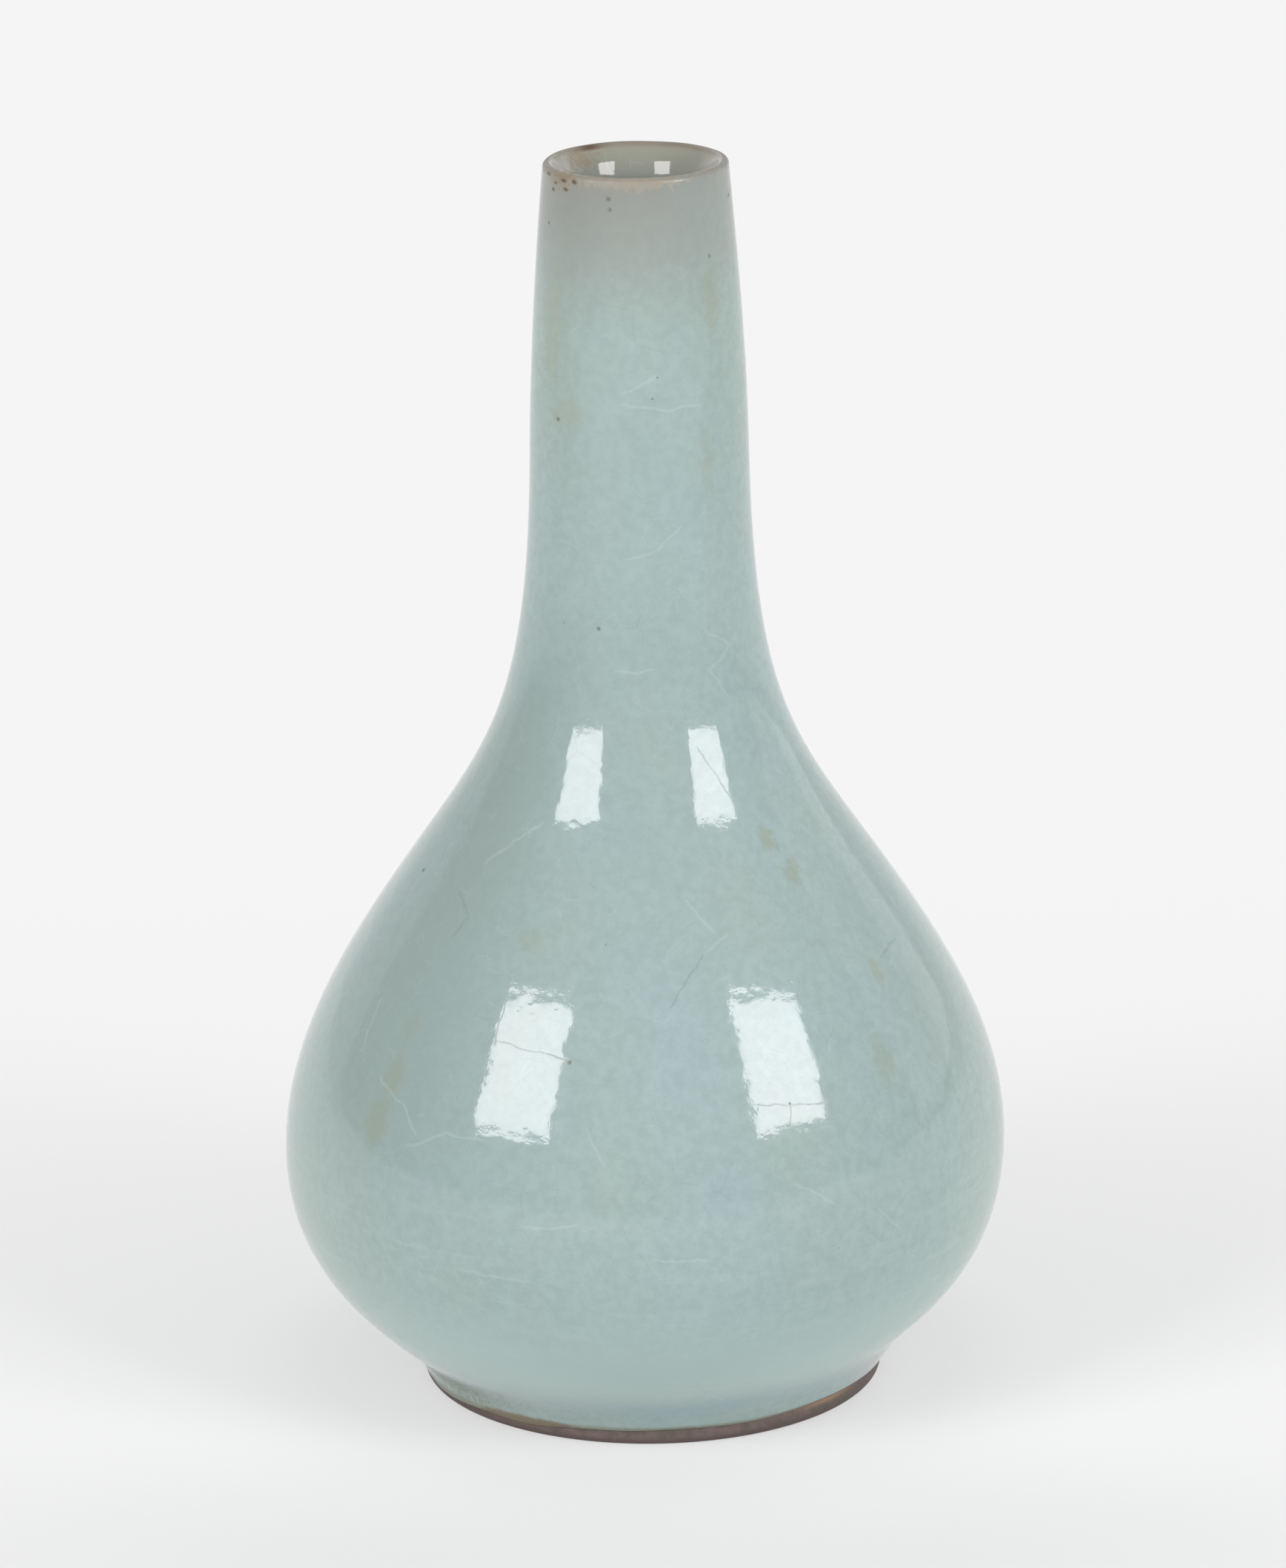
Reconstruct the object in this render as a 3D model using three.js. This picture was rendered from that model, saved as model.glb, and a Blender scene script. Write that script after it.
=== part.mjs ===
// Celadon bottle vase: stoneware sections thrown on the wheel, luted together and glazed.
// Millimetres, +Z up. The origin is the centre of the foot, on the surface that the vase stands on.
// Every piece is a profile of radius and height, turned about the Z axis.

import * as THREE from 'three';

// Heights, stacked from the surface that the vase stands on
const FOOT_HEIGHT = 4;
const BELLY_RISE = 34.89;
const SHOULDER_RISE = 44.36;
const NECK_SWEEP = 70.4;
const NECK_LENGTH = 45.83;

// Radii of the glazed outside
const FOOT_RADIUS = 37;
const CREASE_RADIUS = 38.2;
const BELLY_RADIUS = 57.9;
const SHOULDER_RADIUS = 39.7;
const NECK_RADIUS = 17.2;
const MOUTH_RADIUS = 14.58;

// Lean of the outside from upright, in degrees, outward above zero
const CREASE_LEAN = 30;
const SHOULDER_LEAN = -34.1;
const NECK_LEAN = -1;
const MOUTH_LEAN = -5.1;

// Fullness of the outline: how far each curve runs straight on before it bends to the next
const CREASE_FULLNESS = 8.4;
const BELLY_FULLNESS_BELOW = 21.7;
const BELLY_FULLNESS_ABOVE = 14.8;
const SHOULDER_FULLNESS_BELOW = 19.5;
const SHOULDER_FULLNESS_ABOVE = 26.3;
const NECK_FULLNESS_BELOW = 43.3;
const NECK_FULLNESS_ABOVE = 3.5;
const MOUTH_FULLNESS = 26.2;

// Clay walls, and the floor and bowl inside
const BASE_THICKNESS = 6.5;
const FLOOR_RADIUS = 28;
const FLOOR_FULLNESS = 13.3;
const BOWL_FULLNESS = 16.1;
const BELLY_WALL = 5;
const SHOULDER_WALL = 4.6;
const NECK_WALL = 3.6;
const SEAM_RIDGE = 1.4;

// Mouth: a thin rounded edge, and inside it a flare that narrows down to the throat
const LIP_EDGE = 0.6;
const THROAT_RADIUS = 10.85;
const THROAT_DEPTH = 7.2;
const BORE_FULLNESS = 12;
const THROAT_FULLNESS = 3.4;
const FLARE_FULLNESS = 1.6;
const FLARE_LEAN = 42;

// Foot ring
const FOOT_WALL = 5.4;
const FOOT_INNER_TAPER = 0.8;
const FOOT_OUTER_ROUND = 1.1;
const FOOT_INNER_ROUND = 0.9;

// Coats
const BODY_GLAZE = 0.8;
const NECK_GLAZE = 0.7;
const LIP_GLAZE = 0.35;
const INSIDE_GLAZE = 0.5;
const BASE_GLAZE = 0.6;
const BASE_GLAZE_HEM = 1.6;
const FOOT_WASH = 0.35;
const GLAZE_LINE = 2.6;
const GLAZE_ROLL = 1.4;

// Facets
const TURN_FACETS = 32;
const BELLY_STEPS = 7;
const SHOULDER_STEPS = 7;
const SWEEP_STEPS = 9;
const NECK_STEPS = 3;
const FLARE_STEPS = 4;
const BOWL_STEPS = 6;
const HALF_LIP_STEPS = 3;
const EDGE_STEPS = 3;

const celadon = new THREE.MeshStandardMaterial({ color: 0xa5b8b4, roughness: 0.15 });
const stoneware = new THREE.MeshStandardMaterial({ color: 0x8a8078, roughness: 0.8 });
const firedFoot = new THREE.MeshStandardMaterial({ color: 0x665043, roughness: 0.8 });
const ironWash = new THREE.MeshStandardMaterial({ color: 0x54463e, roughness: 0.65 });

const at = (radius, height) => new THREE.Vector2(radius, height);
const inward = (heading) => at(-heading.y, heading.x);

function upward(lean) {
  const angle = THREE.MathUtils.degToRad(lean);
  return at(Math.sin(angle), Math.cos(angle));
}

// Stations: places on the glazed outside, from the foot up, with the way that the outline heads
// there, its fullness below and above, and the thicknesses of coat, wall and lining.
const bellyHeight = FOOT_HEIGHT + BELLY_RISE;
const shoulderHeight = bellyHeight + SHOULDER_RISE;
const neckHeight = shoulderHeight + NECK_SWEEP;
const mouthHeight = neckHeight + NECK_LENGTH;

const crease = {
  place: at(CREASE_RADIUS, FOOT_HEIGHT),
  heading: upward(CREASE_LEAN),
  above: CREASE_FULLNESS,
  coat: BODY_GLAZE,
};
const belly = {
  place: at(BELLY_RADIUS, bellyHeight),
  heading: upward(0),
  below: BELLY_FULLNESS_BELOW,
  above: BELLY_FULLNESS_ABOVE,
  coat: BODY_GLAZE,
  wall: BELLY_WALL,
  lining: INSIDE_GLAZE,
};
const shoulder = {
  place: at(SHOULDER_RADIUS, shoulderHeight),
  heading: upward(SHOULDER_LEAN),
  below: SHOULDER_FULLNESS_BELOW,
  above: SHOULDER_FULLNESS_ABOVE,
  coat: BODY_GLAZE,
  wall: SHOULDER_WALL,
  lining: INSIDE_GLAZE,
};
const neckTop = {
  place: at(NECK_RADIUS, neckHeight),
  heading: upward(NECK_LEAN),
  below: NECK_FULLNESS_BELOW,
  above: NECK_FULLNESS_ABOVE,
  coat: NECK_GLAZE,
  wall: NECK_WALL,
  lining: INSIDE_GLAZE,
};
const mouth = {
  place: at(MOUTH_RADIUS, mouthHeight),
  heading: upward(MOUTH_LEAN),
  below: MOUTH_FULLNESS,
  coat: LIP_GLAZE,
};

// How deep a surface lies under the outline at a station
const surface = () => 0;
const clayOutside = (station) => station.coat;
const clayInside = (station) => station.coat + station.wall;
const liningInside = (station) => station.coat + station.wall + station.lining;
const liningOnly = (station) => station.lining;

const sunk = (station, depth) => station.place.clone().addScaledVector(inward(station.heading), depth);

// The outline from one station up to the next, sunk to a depth that changes evenly between them.
function rise(lower, upper, steps, depthAt) {
  const curve = new THREE.CubicBezierCurve(
    lower.place,
    lower.place.clone().addScaledVector(lower.heading, lower.above),
    upper.place.clone().addScaledVector(upper.heading, -upper.below),
    upper.place,
  );
  const between = Array.from({ length: steps - 1 }, (_, i) => {
    const share = (i + 1) / steps;
    const depth = THREE.MathUtils.lerp(depthAt(lower), depthAt(upper), share);
    return curve.getPoint(share).addScaledVector(inward(curve.getTangent(share)), depth);
  });
  return [sunk(lower, depthAt(lower)), ...between, sunk(upper, depthAt(upper))];
}

// A round edge about a centre, from one angle to another, in degrees from straight outward.
function round(centre, radius, from, to, steps) {
  return Array.from({ length: steps + 1 }, (_, i) => {
    const angle = THREE.MathUtils.degToRad(THREE.MathUtils.lerp(from, to, i / steps));
    return at(centre.x + radius * Math.cos(angle), centre.y + radius * Math.sin(angle));
  });
}

const reversed = (line) => [...line].reverse();

// Lines end to end, without the points that two of them share.
function chain(...lines) {
  const tolerance = 1e-6;
  return lines.flat().filter((p, i, all) => i === 0 || p.distanceTo(all[i - 1]) > tolerance);
}

const closed = (line) => [...line, line[0].clone()];

function turned(name, profile, material) {
  const geometry = new THREE.LatheGeometry(profile, TURN_FACETS);
  geometry.rotateX(Math.PI / 2);
  const mesh = new THREE.Mesh(geometry, material);
  mesh.name = name;
  return mesh;
}

// Each thrown section ends in a ridge, and the next one has the groove that is luted over it.
function ridge(station) {
  const middle = sunk(station, station.coat + station.wall / 2);
  return middle.addScaledVector(station.heading, SEAM_RIDGE);
}

// The floor inside, and the bowl that curves up from it to the wall at the belly
const floorHeight = FOOT_HEIGHT + BASE_THICKNESS;
const floorEdge = {
  place: at(FLOOR_RADIUS, floorHeight),
  heading: at(1, 0),
  above: FLOOR_FULLNESS,
  lining: INSIDE_GLAZE,
};
const bowlTop = {
  place: sunk(belly, clayInside(belly)),
  heading: belly.heading,
  below: BOWL_FULLNESS,
  lining: INSIDE_GLAZE,
};

// The lip is a ring of round section, which carries the outside over to the flare of the mouth.
// The outer coat covers it up to its crown, and the lining from there on.
const lipRadius = LIP_EDGE + LIP_GLAZE;
const lipCentre = sunk(mouth, lipRadius);
const lipOuter = (radius) => round(lipCentre, radius, -MOUTH_LEAN, 90 - MOUTH_LEAN, HALF_LIP_STEPS);
const lipInner = (radius) => round(lipCentre, radius, 90 - MOUTH_LEAN, 180 - FLARE_LEAN, HALF_LIP_STEPS);

// The clay inside the neck: the bore that narrows up to the throat, and the flare up to the lip
const boreFoot = {
  place: sunk(neckTop, clayInside(neckTop)),
  heading: neckTop.heading,
  above: NECK_FULLNESS_ABOVE,
  lining: INSIDE_GLAZE,
};
const throat = {
  place: at(THROAT_RADIUS, lipCentre.y + lipRadius - THROAT_DEPTH),
  heading: upward(0),
  below: BORE_FULLNESS,
  above: THROAT_FULLNESS,
  lining: INSIDE_GLAZE,
};
const flareTop = {
  place: lipInner(LIP_EDGE).at(-1),
  heading: upward(FLARE_LEAN),
  below: FLARE_FULLNESS,
  lining: LIP_GLAZE,
};
const neckInside = (depthAt) => chain(
  rise(boreFoot, throat, NECK_STEPS, depthAt),
  rise(throat, flareTop, FLARE_STEPS, depthAt),
);

// The foot's walls: the clay stands back by the wash outside, and leans in towards the top inside.
const footClay = FOOT_RADIUS - FOOT_WASH;
const footInner = FOOT_RADIUS - FOOT_WALL;
const footInnerTop = footInner - FOOT_INNER_TAPER;
const outerRound = at(FOOT_RADIUS - FOOT_OUTER_ROUND, FOOT_OUTER_ROUND);
const innerRound = at(footInner + FOOT_INNER_ROUND, FOOT_INNER_ROUND);
const hemShare = (FOOT_HEIGHT - BASE_GLAZE_HEM) / (FOOT_HEIGHT - FOOT_INNER_ROUND);
const hem = at(footInnerTop + FOOT_INNER_TAPER * hemShare, BASE_GLAZE_HEM);
const outerEdge = (radius) => round(outerRound, radius, -90, 0, EDGE_STEPS);
const clayEdge = outerEdge(FOOT_OUTER_ROUND - FOOT_WASH);

function footRing() {
  const profile = chain(
    [at(innerRound.x, 0), at(outerRound.x, 0)],
    clayEdge,
    [at(footClay, GLAZE_LINE), at(footClay, FOOT_HEIGHT), at(footInnerTop, FOOT_HEIGHT), hem],
    round(innerRound, FOOT_INNER_ROUND, 180, 270, EDGE_STEPS),
  );
  return turned('foot_ring', profile, firedFoot);
}

function footWash() {
  const profile = chain(
    outerEdge(FOOT_OUTER_ROUND),
    [at(FOOT_RADIUS, GLAZE_LINE), at(footClay, GLAZE_LINE)],
    reversed(clayEdge),
  );
  return turned('foot_wash', closed(profile), ironWash);
}

function lowerBody() {
  const profile = chain(
    [at(0, FOOT_HEIGHT), at(footInnerTop, FOOT_HEIGHT), at(footClay, FOOT_HEIGHT)],
    rise(crease, belly, BELLY_STEPS, clayOutside),
    [ridge(belly)],
    reversed(rise(floorEdge, bowlTop, BOWL_STEPS, surface)),
    [at(0, floorHeight)],
  );
  return turned('lower_body', profile, stoneware);
}

function upperBody() {
  const profile = chain(
    rise(belly, shoulder, SHOULDER_STEPS, clayOutside),
    [ridge(shoulder)],
    reversed(rise(belly, shoulder, SHOULDER_STEPS, clayInside)),
    [ridge(belly)],
  );
  return turned('upper_body', closed(profile), stoneware);
}

function neck() {
  const profile = chain(
    rise(shoulder, neckTop, SWEEP_STEPS, clayOutside),
    rise(neckTop, mouth, NECK_STEPS, clayOutside),
    lipOuter(LIP_EDGE),
    lipInner(LIP_EDGE),
    reversed(neckInside(surface)),
    reversed(rise(shoulder, neckTop, SWEEP_STEPS, clayInside)),
    [ridge(shoulder)],
  );
  return turned('neck', closed(profile), stoneware);
}

// The outer coat ends below in a roll that hangs over the top of the wash.
function outerGlaze() {
  const roll = new THREE.QuadraticBezierCurve(
    at(FOOT_RADIUS, GLAZE_LINE),
    crease.place.clone().addScaledVector(crease.heading, -GLAZE_ROLL),
    crease.place,
  );
  const covering = (depthAt) => chain(
    rise(crease, belly, BELLY_STEPS, depthAt),
    rise(belly, shoulder, SHOULDER_STEPS, depthAt),
    rise(shoulder, neckTop, SWEEP_STEPS, depthAt),
    rise(neckTop, mouth, NECK_STEPS, depthAt),
  );
  const profile = chain(
    [at(footClay, GLAZE_LINE)],
    roll.getPoints(EDGE_STEPS),
    covering(surface),
    lipOuter(lipRadius),
    reversed(lipOuter(LIP_EDGE)),
    reversed(covering(clayOutside)),
    [at(footClay, FOOT_HEIGHT)],
  );
  return turned('outer_glaze', closed(profile), celadon);
}

function innerGlaze() {
  const covering = (wallDepth, lineDepth) => chain(
    rise(floorEdge, bowlTop, BOWL_STEPS, lineDepth),
    rise(belly, shoulder, SHOULDER_STEPS, wallDepth),
    rise(shoulder, neckTop, SWEEP_STEPS, wallDepth),
    neckInside(lineDepth),
  );
  const profile = chain(
    [at(0, floorHeight)],
    covering(clayInside, surface),
    reversed(lipInner(LIP_EDGE)),
    lipInner(lipRadius),
    reversed(covering(liningInside, liningOnly)),
    [at(0, floorHeight + INSIDE_GLAZE)],
  );
  return turned('inner_glaze', profile, celadon);
}

// The coat under the base turns down the inner wall of the foot ring and thins out to its hem.
function baseGlaze() {
  const ceiling = FOOT_HEIGHT - BASE_GLAZE;
  const fillet = new THREE.QuadraticBezierCurve(
    at(footInnerTop - 2 * BASE_GLAZE, ceiling),
    at(footInnerTop - BASE_GLAZE / 3, ceiling),
    hem,
  );
  const profile = chain(
    [at(0, ceiling)],
    fillet.getPoints(EDGE_STEPS),
    [at(footInnerTop, FOOT_HEIGHT), at(0, FOOT_HEIGHT)],
  );
  return turned('base_glaze', profile, celadon);
}

const vase = new THREE.Group();
vase.add(
  footRing(),
  footWash(),
  lowerBody(),
  upperBody(),
  neck(),
  outerGlaze(),
  innerGlaze(),
  baseGlaze(),
);

export default vase;
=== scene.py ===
"""A celadon bottle vase: the finish of its glaze, lip and foot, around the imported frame."""

import math

import bpy
import numpy as np
from mathutils import Matrix, Vector


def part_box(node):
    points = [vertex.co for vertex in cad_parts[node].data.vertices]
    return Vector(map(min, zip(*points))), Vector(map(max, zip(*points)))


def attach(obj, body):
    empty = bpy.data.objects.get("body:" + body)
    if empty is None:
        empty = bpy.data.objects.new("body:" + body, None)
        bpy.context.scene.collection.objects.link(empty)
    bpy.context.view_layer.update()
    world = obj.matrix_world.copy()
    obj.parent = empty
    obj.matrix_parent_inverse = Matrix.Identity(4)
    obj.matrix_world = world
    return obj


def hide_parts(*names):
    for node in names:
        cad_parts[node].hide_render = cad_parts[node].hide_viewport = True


bl_info = {
    "name": "Celadon bottle vase",
    "version": (1, 1, 0),
    "blender": (4, 5, 0),
    "location": "View3D > Sidebar > Vase",
    "description": "Glaze coats, thin lip and iron-washed foot of a wheel-thrown bottle vase",
    "category": "Object",
}

MM = 0.001

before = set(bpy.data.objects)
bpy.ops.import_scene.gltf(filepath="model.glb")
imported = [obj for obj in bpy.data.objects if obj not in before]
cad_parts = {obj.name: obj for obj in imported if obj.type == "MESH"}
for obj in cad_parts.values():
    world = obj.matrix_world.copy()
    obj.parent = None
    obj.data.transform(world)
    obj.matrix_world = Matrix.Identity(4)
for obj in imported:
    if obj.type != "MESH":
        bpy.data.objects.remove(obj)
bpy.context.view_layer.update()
glaze_low, glaze_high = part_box("outer_glaze")
_, foot_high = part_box("foot_ring")
_, wash_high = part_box("foot_wash")
lining_low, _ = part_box("inner_glaze")


def length(label, words, default):
    """A size in metres that a user may change."""
    return bpy.props.FloatProperty(
        name=label, description=words, default=default, unit="LENGTH", precision=5
    )


def colour(label, words, red, green, blue):
    """A colour that a user may change, given as the 0 to 255 values that it shows on a screen."""
    return bpy.props.FloatVectorProperty(
        name=label,
        description=words,
        subtype="COLOR",
        size=4,
        min=0.0,
        max=1.0,
        default=linear(red, green, blue),
    )


def linear(red, green, blue):
    """Screen values from 0 to 255 as linear light, with full alpha."""
    share = np.array([red, green, blue]) / 255
    light = np.where(share <= 0.04045, share / 12.92, ((share + 0.055) / 1.055) ** 2.4)
    return (*light.tolist(), 1.0)


class VaseShape(bpy.types.PropertyGroup):
    """The outline of the glazed outside, at its stations from the foot up."""

    foot_radius: length("Foot radius", "Outside of the washed foot", wash_high.x)
    glaze_line: length("Glaze line", "Height of the glaze's lower edge", glaze_low.z)
    crease_radius: length("Crease radius", "Where the body leaves the foot", 38.2 * MM)
    crease_height: length("Crease height", "Where the body leaves the foot", foot_high.z)
    belly_radius: length("Belly radius", "The widest point", glaze_high.x)
    belly_height: length("Belly height", "The widest point", 38.89 * MM)
    shoulder_radius: length("Shoulder radius", "Where the shoulder turns hollow", 39.7 * MM)
    shoulder_height: length("Shoulder height", "Where the shoulder turns hollow", 83.25 * MM)
    neck_radius: length("Neck radius", "Where the neck begins to run straight", 17.2 * MM)
    neck_height: length("Neck height", "Where the neck begins to run straight", 153.65 * MM)
    mouth_radius: length("Mouth radius", "Where the lip begins to turn over", 14.58 * MM)
    mouth_height: length("Mouth height", "Where the lip begins to turn over", 199.48 * MM)
    lip_round: length("Lip round", "Radius of the thin rounded lip", 0.95 * MM)
    throat_radius: length("Throat radius", "The narrowest place inside the mouth", 10.35 * MM)
    throat_depth: length("Throat depth", "From the lip's crown down to the throat", 7.2 * MM)
    throwing: length("Throwing rings", "Height of the rings that the fingers leave", 0.022 * MM)
    belly_sway: length("Belly sway", "How far the lower belly leans left", 0.45 * MM)
    foot_sway: length("Foot sway", "How far the foot stands right", 0.6 * MM)
    mouth_sway: length("Mouth sway", "How far the mouth stands left", 0.12 * MM)


class GlazeFinish(bpy.types.PropertyGroup):
    """Colours and grain of the celadon glaze."""

    blue: colour("Blue green", "Where the coat is thick and cool", 157, 179, 177)
    green: colour("Grey green", "Where the coat is warmer", 158, 178, 173)
    grey: colour("Neck grey", "Where the coat thins up the neck", 140, 143, 136)
    # Deeper green on the left flank and the right shoulder, with painted shade on the front of the
    # shoulder and neck where the front lamps light most
    green_and_painted_shade: colour("Deep green", "Where the coat lies darker on the left", 141, 159, 154)
    thin: colour("Thin edge", "The clay showing through at the lip", 152, 145, 130)
    crown: colour("Crown", "The dry crown of the lip", 122, 114, 100)
    scorch: colour("Scorch", "Iron brown that has soaked into the lip", 92, 72, 54)
    iron: colour("Iron", "Grey brown pits and specks in the coat", 92, 96, 84)
    scald: colour("Scald", "Reddened clay round the scorched spots", 140, 125, 98)
    # Painted light: the lower belly made paler, as if lit more from the floor below
    pale: colour("Pale green", "Where the coat gathers thick and pale below", 166, 187, 183)
    ochre: colour("Ochre", "Tea-coloured stains in the coat", 146, 152, 126)
    # Painted light: paler and warmer where the lower sides turn away at left and right
    side_light_paint: colour("Warm pale", "Where the coat is paler and warmer low down at the sides", 168, 184, 175)
    pool: colour("Pool", "Where the glaze gathers over the foot", 147, 169, 172)
    froth: colour("Froth", "Bubbled glaze beside the foot", 166, 170, 160)
    hem: colour("Hem", "Thin glaze along its lower edge", 140, 146, 132)
    rust: colour("Rust", "Olive brown where the edge runs thin", 122, 112, 92)
    crackle: colour("Crackle", "Stained lines in the coat", 112, 122, 116)
    craze: colour("Craze", "Pale lines in the coat", 182, 197, 195)
    lining: colour("Lining", "Thin olive grey coat inside the mouth", 142, 146, 133)
    depth: colour("Lining below", "Greyer and bluer further down the neck", 130, 143, 141)
    # Painted reflection: pale patches on the flare inside the mouth at left and right, where the lamps
    # would show
    bevel: colour("Bevel", "Pale coat where the flare turns aside at left and right", 186, 184, 178)
    bubble: length("Bubble", "Size of the fine bubbles under the skin", 0.55 * MM)
    crack_cell: length("Crack cell", "Size of a field between crackle lines", 15 * MM)


class FootFinish(bpy.types.PropertyGroup):
    """Colours of the unglazed foot."""

    wash: colour("Iron wash", "Purple-brown dressing on the foot wall", 116, 100, 96)
    wash_dark: colour("Dark wash", "Where the dressing lies thick", 88, 80, 70)
    # Dark wash low on the foot and at its sides; close to the stand the darkening is partly painted
    # contact shadow
    low_wash_and_shade: colour("Low wash", "The darker hem of the dressing, close to the stand", 84, 68, 66)
    tan: colour("Tan", "Where the dressing lies thin at the front right", 158, 130, 104)
    clay: colour("Fired clay", "The reddened clay of the contact face", 128, 104, 88)
    stoneware: colour("Stoneware", "The grey clay of the body", 140, 132, 122)


class StudioSetup(bpy.types.PropertyGroup):
    """The floor, the two softboxes and the camera."""

    paper: colour("Paper", "The pale sweep under the vase", 240, 243, 241)
    # Painted shadow: the paper darker close in front of the vase, darkest in the middle
    painted_front_shadow: colour("Paper in front", "The sweep close in front of the vase", 214, 217, 216)
    backdrop: colour("Backdrop", "The sweep as the camera sees it far behind", 245, 245, 245)
    softbox_power: bpy.props.FloatProperty(
        name="Softbox power", description="Power of each softbox", default=8.6, unit="POWER"
    )
    surround: bpy.props.FloatProperty(
        name="Surround", description="Strength of the even light all round", default=0.34
    )
    top_power: bpy.props.FloatProperty(
        name="Top power", description="Power of the light overhead", default=3.5, unit="POWER"
    )
    panel_power: bpy.props.FloatProperty(
        name="Panel power", description="Power of the reflector at the right", default=3.0, unit="POWER"
    )
    softbox_width: length("Softbox width", "Width of each softbox", 0.566)
    softbox_height: length("Softbox height", "Height of each softbox", 0.474)
    camera_back: length("Camera back", "Level distance from the vase's axis", 1.231)
    camera_up: length("Camera up", "Height above the floor", 0.484)
    camera_pitch: bpy.props.FloatProperty(
        name="Camera pitch",
        description="How far the view looks down",
        default=math.radians(17.39),
        unit="ROTATION",
    )
    camera_roll: bpy.props.FloatProperty(
        name="Camera roll",
        description="How far the camera leans to the right",
        default=math.radians(0.62),
        unit="ROTATION",
    )
    camera_lens: bpy.props.FloatProperty(
        name="Lens", description="Focal length in millimetres", default=185.8
    )


SHAPE = "vase_shape"
GLAZE = "vase_glaze"
FOOT = "vase_foot"
STUDIO = "vase_studio"


def settings(name):
    """The scene's property group of that name."""
    return getattr(bpy.context.scene, name)


# Outline

# Lean of the outside from upright in degrees, outward above zero
CREASE_LEAN, SHOULDER_LEAN, NECK_LEAN, MOUTH_LEAN = 30.0, -34.1, -1.0, -5.1
# How far each curve runs straight on from a station before it bends, below and above it
CREASE_PULL = 8.4 * MM
BELLY_PULLS = (21.7 * MM, 14.8 * MM)
SHOULDER_PULLS = (19.5 * MM, 26.3 * MM)
NECK_PULLS = (43.3 * MM, 3.5 * MM)
MOUTH_PULL = 26.2 * MM
# The roll of glaze over the foot: how far back from the crease its curve's two handles stand
ROLL_PULLS = (1.68 * MM, 0.84 * MM)
# The flare inside the mouth
FLARE_LEAN = 42.0
BORE_PULL, THROAT_PULL, FLARE_PULL = 12 * MM, 3.4 * MM, 1.6 * MM
# The bowl inside: its level floor, how far its curve runs on out and down, and the glaze pooled there
FLOOR_RADIUS = 28 * MM
FLOOR_PULL, BOWL_PULL = 13.3 * MM, 16.1 * MM
POOLED = 0.7 * MM

# Less than this is no distance
SLACK = 0.001 * MM
# Thickness of the glaze on the body, up the neck, at the lip and inside
BODY_COAT = 0.8 * MM
NECK_COAT = 0.7 * MM
LIP_COAT = 0.35 * MM
LINING_COAT = 0.5 * MM
# Coat, clay and lining together at the belly, the shoulder and the neck
WALLS = (6.3 * MM, 5.9 * MM, 4.8 * MM)
# The foot ring: its wall at the stand, how much its inner wall leans in, and its rounded edges
FOOT_WALL = 5.4 * MM
FOOT_TAPER = 0.8 * MM
OUTER_ROUND = 1.1 * MM
INNER_ROUND = 0.9 * MM
# The coat in the recess, and the height of its lower edge
BASE_COAT = 0.6 * MM
BASE_HEM = 1.6 * MM
# The innermost ring of the base, the width of its fillet, the fillet's handle, and the hem's fade
BASE_MIDDLE, BASE_FILLET, BASE_PULL, HEM_FADE = 3 * MM, 1.2 * MM, 0.42 * MM, 0.7 * MM
# How far the wash ends under the body
WASH_GAP = 0.1 * MM
# Points round each turned piece
OUTSIDE_AROUND, INSIDE_AROUND, FOOT_AROUND = 288, 192, 256

# What makes the wall uneven. A span holds the heights where a change starts and where it is full.
FOOT_SPAN = (5 * MM, 11 * MM)
BELLY_SPAN = (26 * MM, 60 * MM)
MOUTH_SPAN = (165 * MM, 197 * MM)
RING_SPAN, CALM_SPAN = (8 * MM, 20 * MM), (40 * MM, 70 * MM)
OVAL_SPAN, ROUND_SPAN = (4 * MM, 30 * MM), (165 * MM, 195 * MM)
LIP_SPAN = (185 * MM, 198 * MM)
INSIDE_SPAN = (150 * MM, 190 * MM)
# Heights over which the sines of the throwing rings and of their uneven pitch run one radian
RING_RISE, RING_DRIFT = 0.62 * MM, 9 * MM
# How far the pitch wanders, how much the rings slant, in radians, and how much of them the calm takes
RING_WANDER, RING_SLANT, CALM = 1.5, 0.35, 0.8
OVAL, OVAL_SHIFT = 0.12 * MM, 0.7
# The swelling over the foot, with its direction, and its middle and width up the wall
SWELLING, SWELLING_WAY, SWELLING_HEIGHTS = 0.5 * MM, (-84, 24), (6.4 * MM, 2.2 * MM)
# How much the lip rises over a length to the right and to the back
LIP_RISE_RIGHT, LIP_RISE_BACK = 0.0072, -0.0125
# Sines round the lip and round the glaze's edge: turns in a round, shift and height
LIP_SINES = ((3, 0.8, 0.035 * MM), (8, 0.0, 0.02 * MM))
EDGE_SINES = ((5, 0.4, 0.1 * MM), (13, 0.0, 0.05 * MM))
# How far the glaze's edge rises: direction in degrees from the front, width and height
EDGE_RISES = ((50, 16, 0.6 * MM), (-62, 22, -1.3 * MM), (-32, 12, -0.6 * MM))


def heading(lean):
    """The unit vector (radius, height) that leans outward from upright by an angle in degrees."""
    angle = math.radians(lean)
    return np.array([math.sin(angle), math.cos(angle)])


def bezier(start, start_pull, end_pull, end, steps):
    """Points and unit headings on the cubic (1-t)^3 a + 3t(1-t)^2 b + 3t^2(1-t) c + t^3 d."""
    a, b, c, d = (np.array(p, float) for p in (start, start_pull, end_pull, end))
    t = np.linspace(0, 1, steps + 1)[:, None]
    points = (1 - t) ** 3 * a + 3 * t * (1 - t) ** 2 * b + 3 * t**2 * (1 - t) * c + t**3 * d
    slopes = (1 - t) ** 2 * (b - a) + 2 * t * (1 - t) * (c - b) + t**2 * (d - c)
    return points, slopes / np.linalg.norm(slopes, axis=1, keepdims=True)


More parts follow.
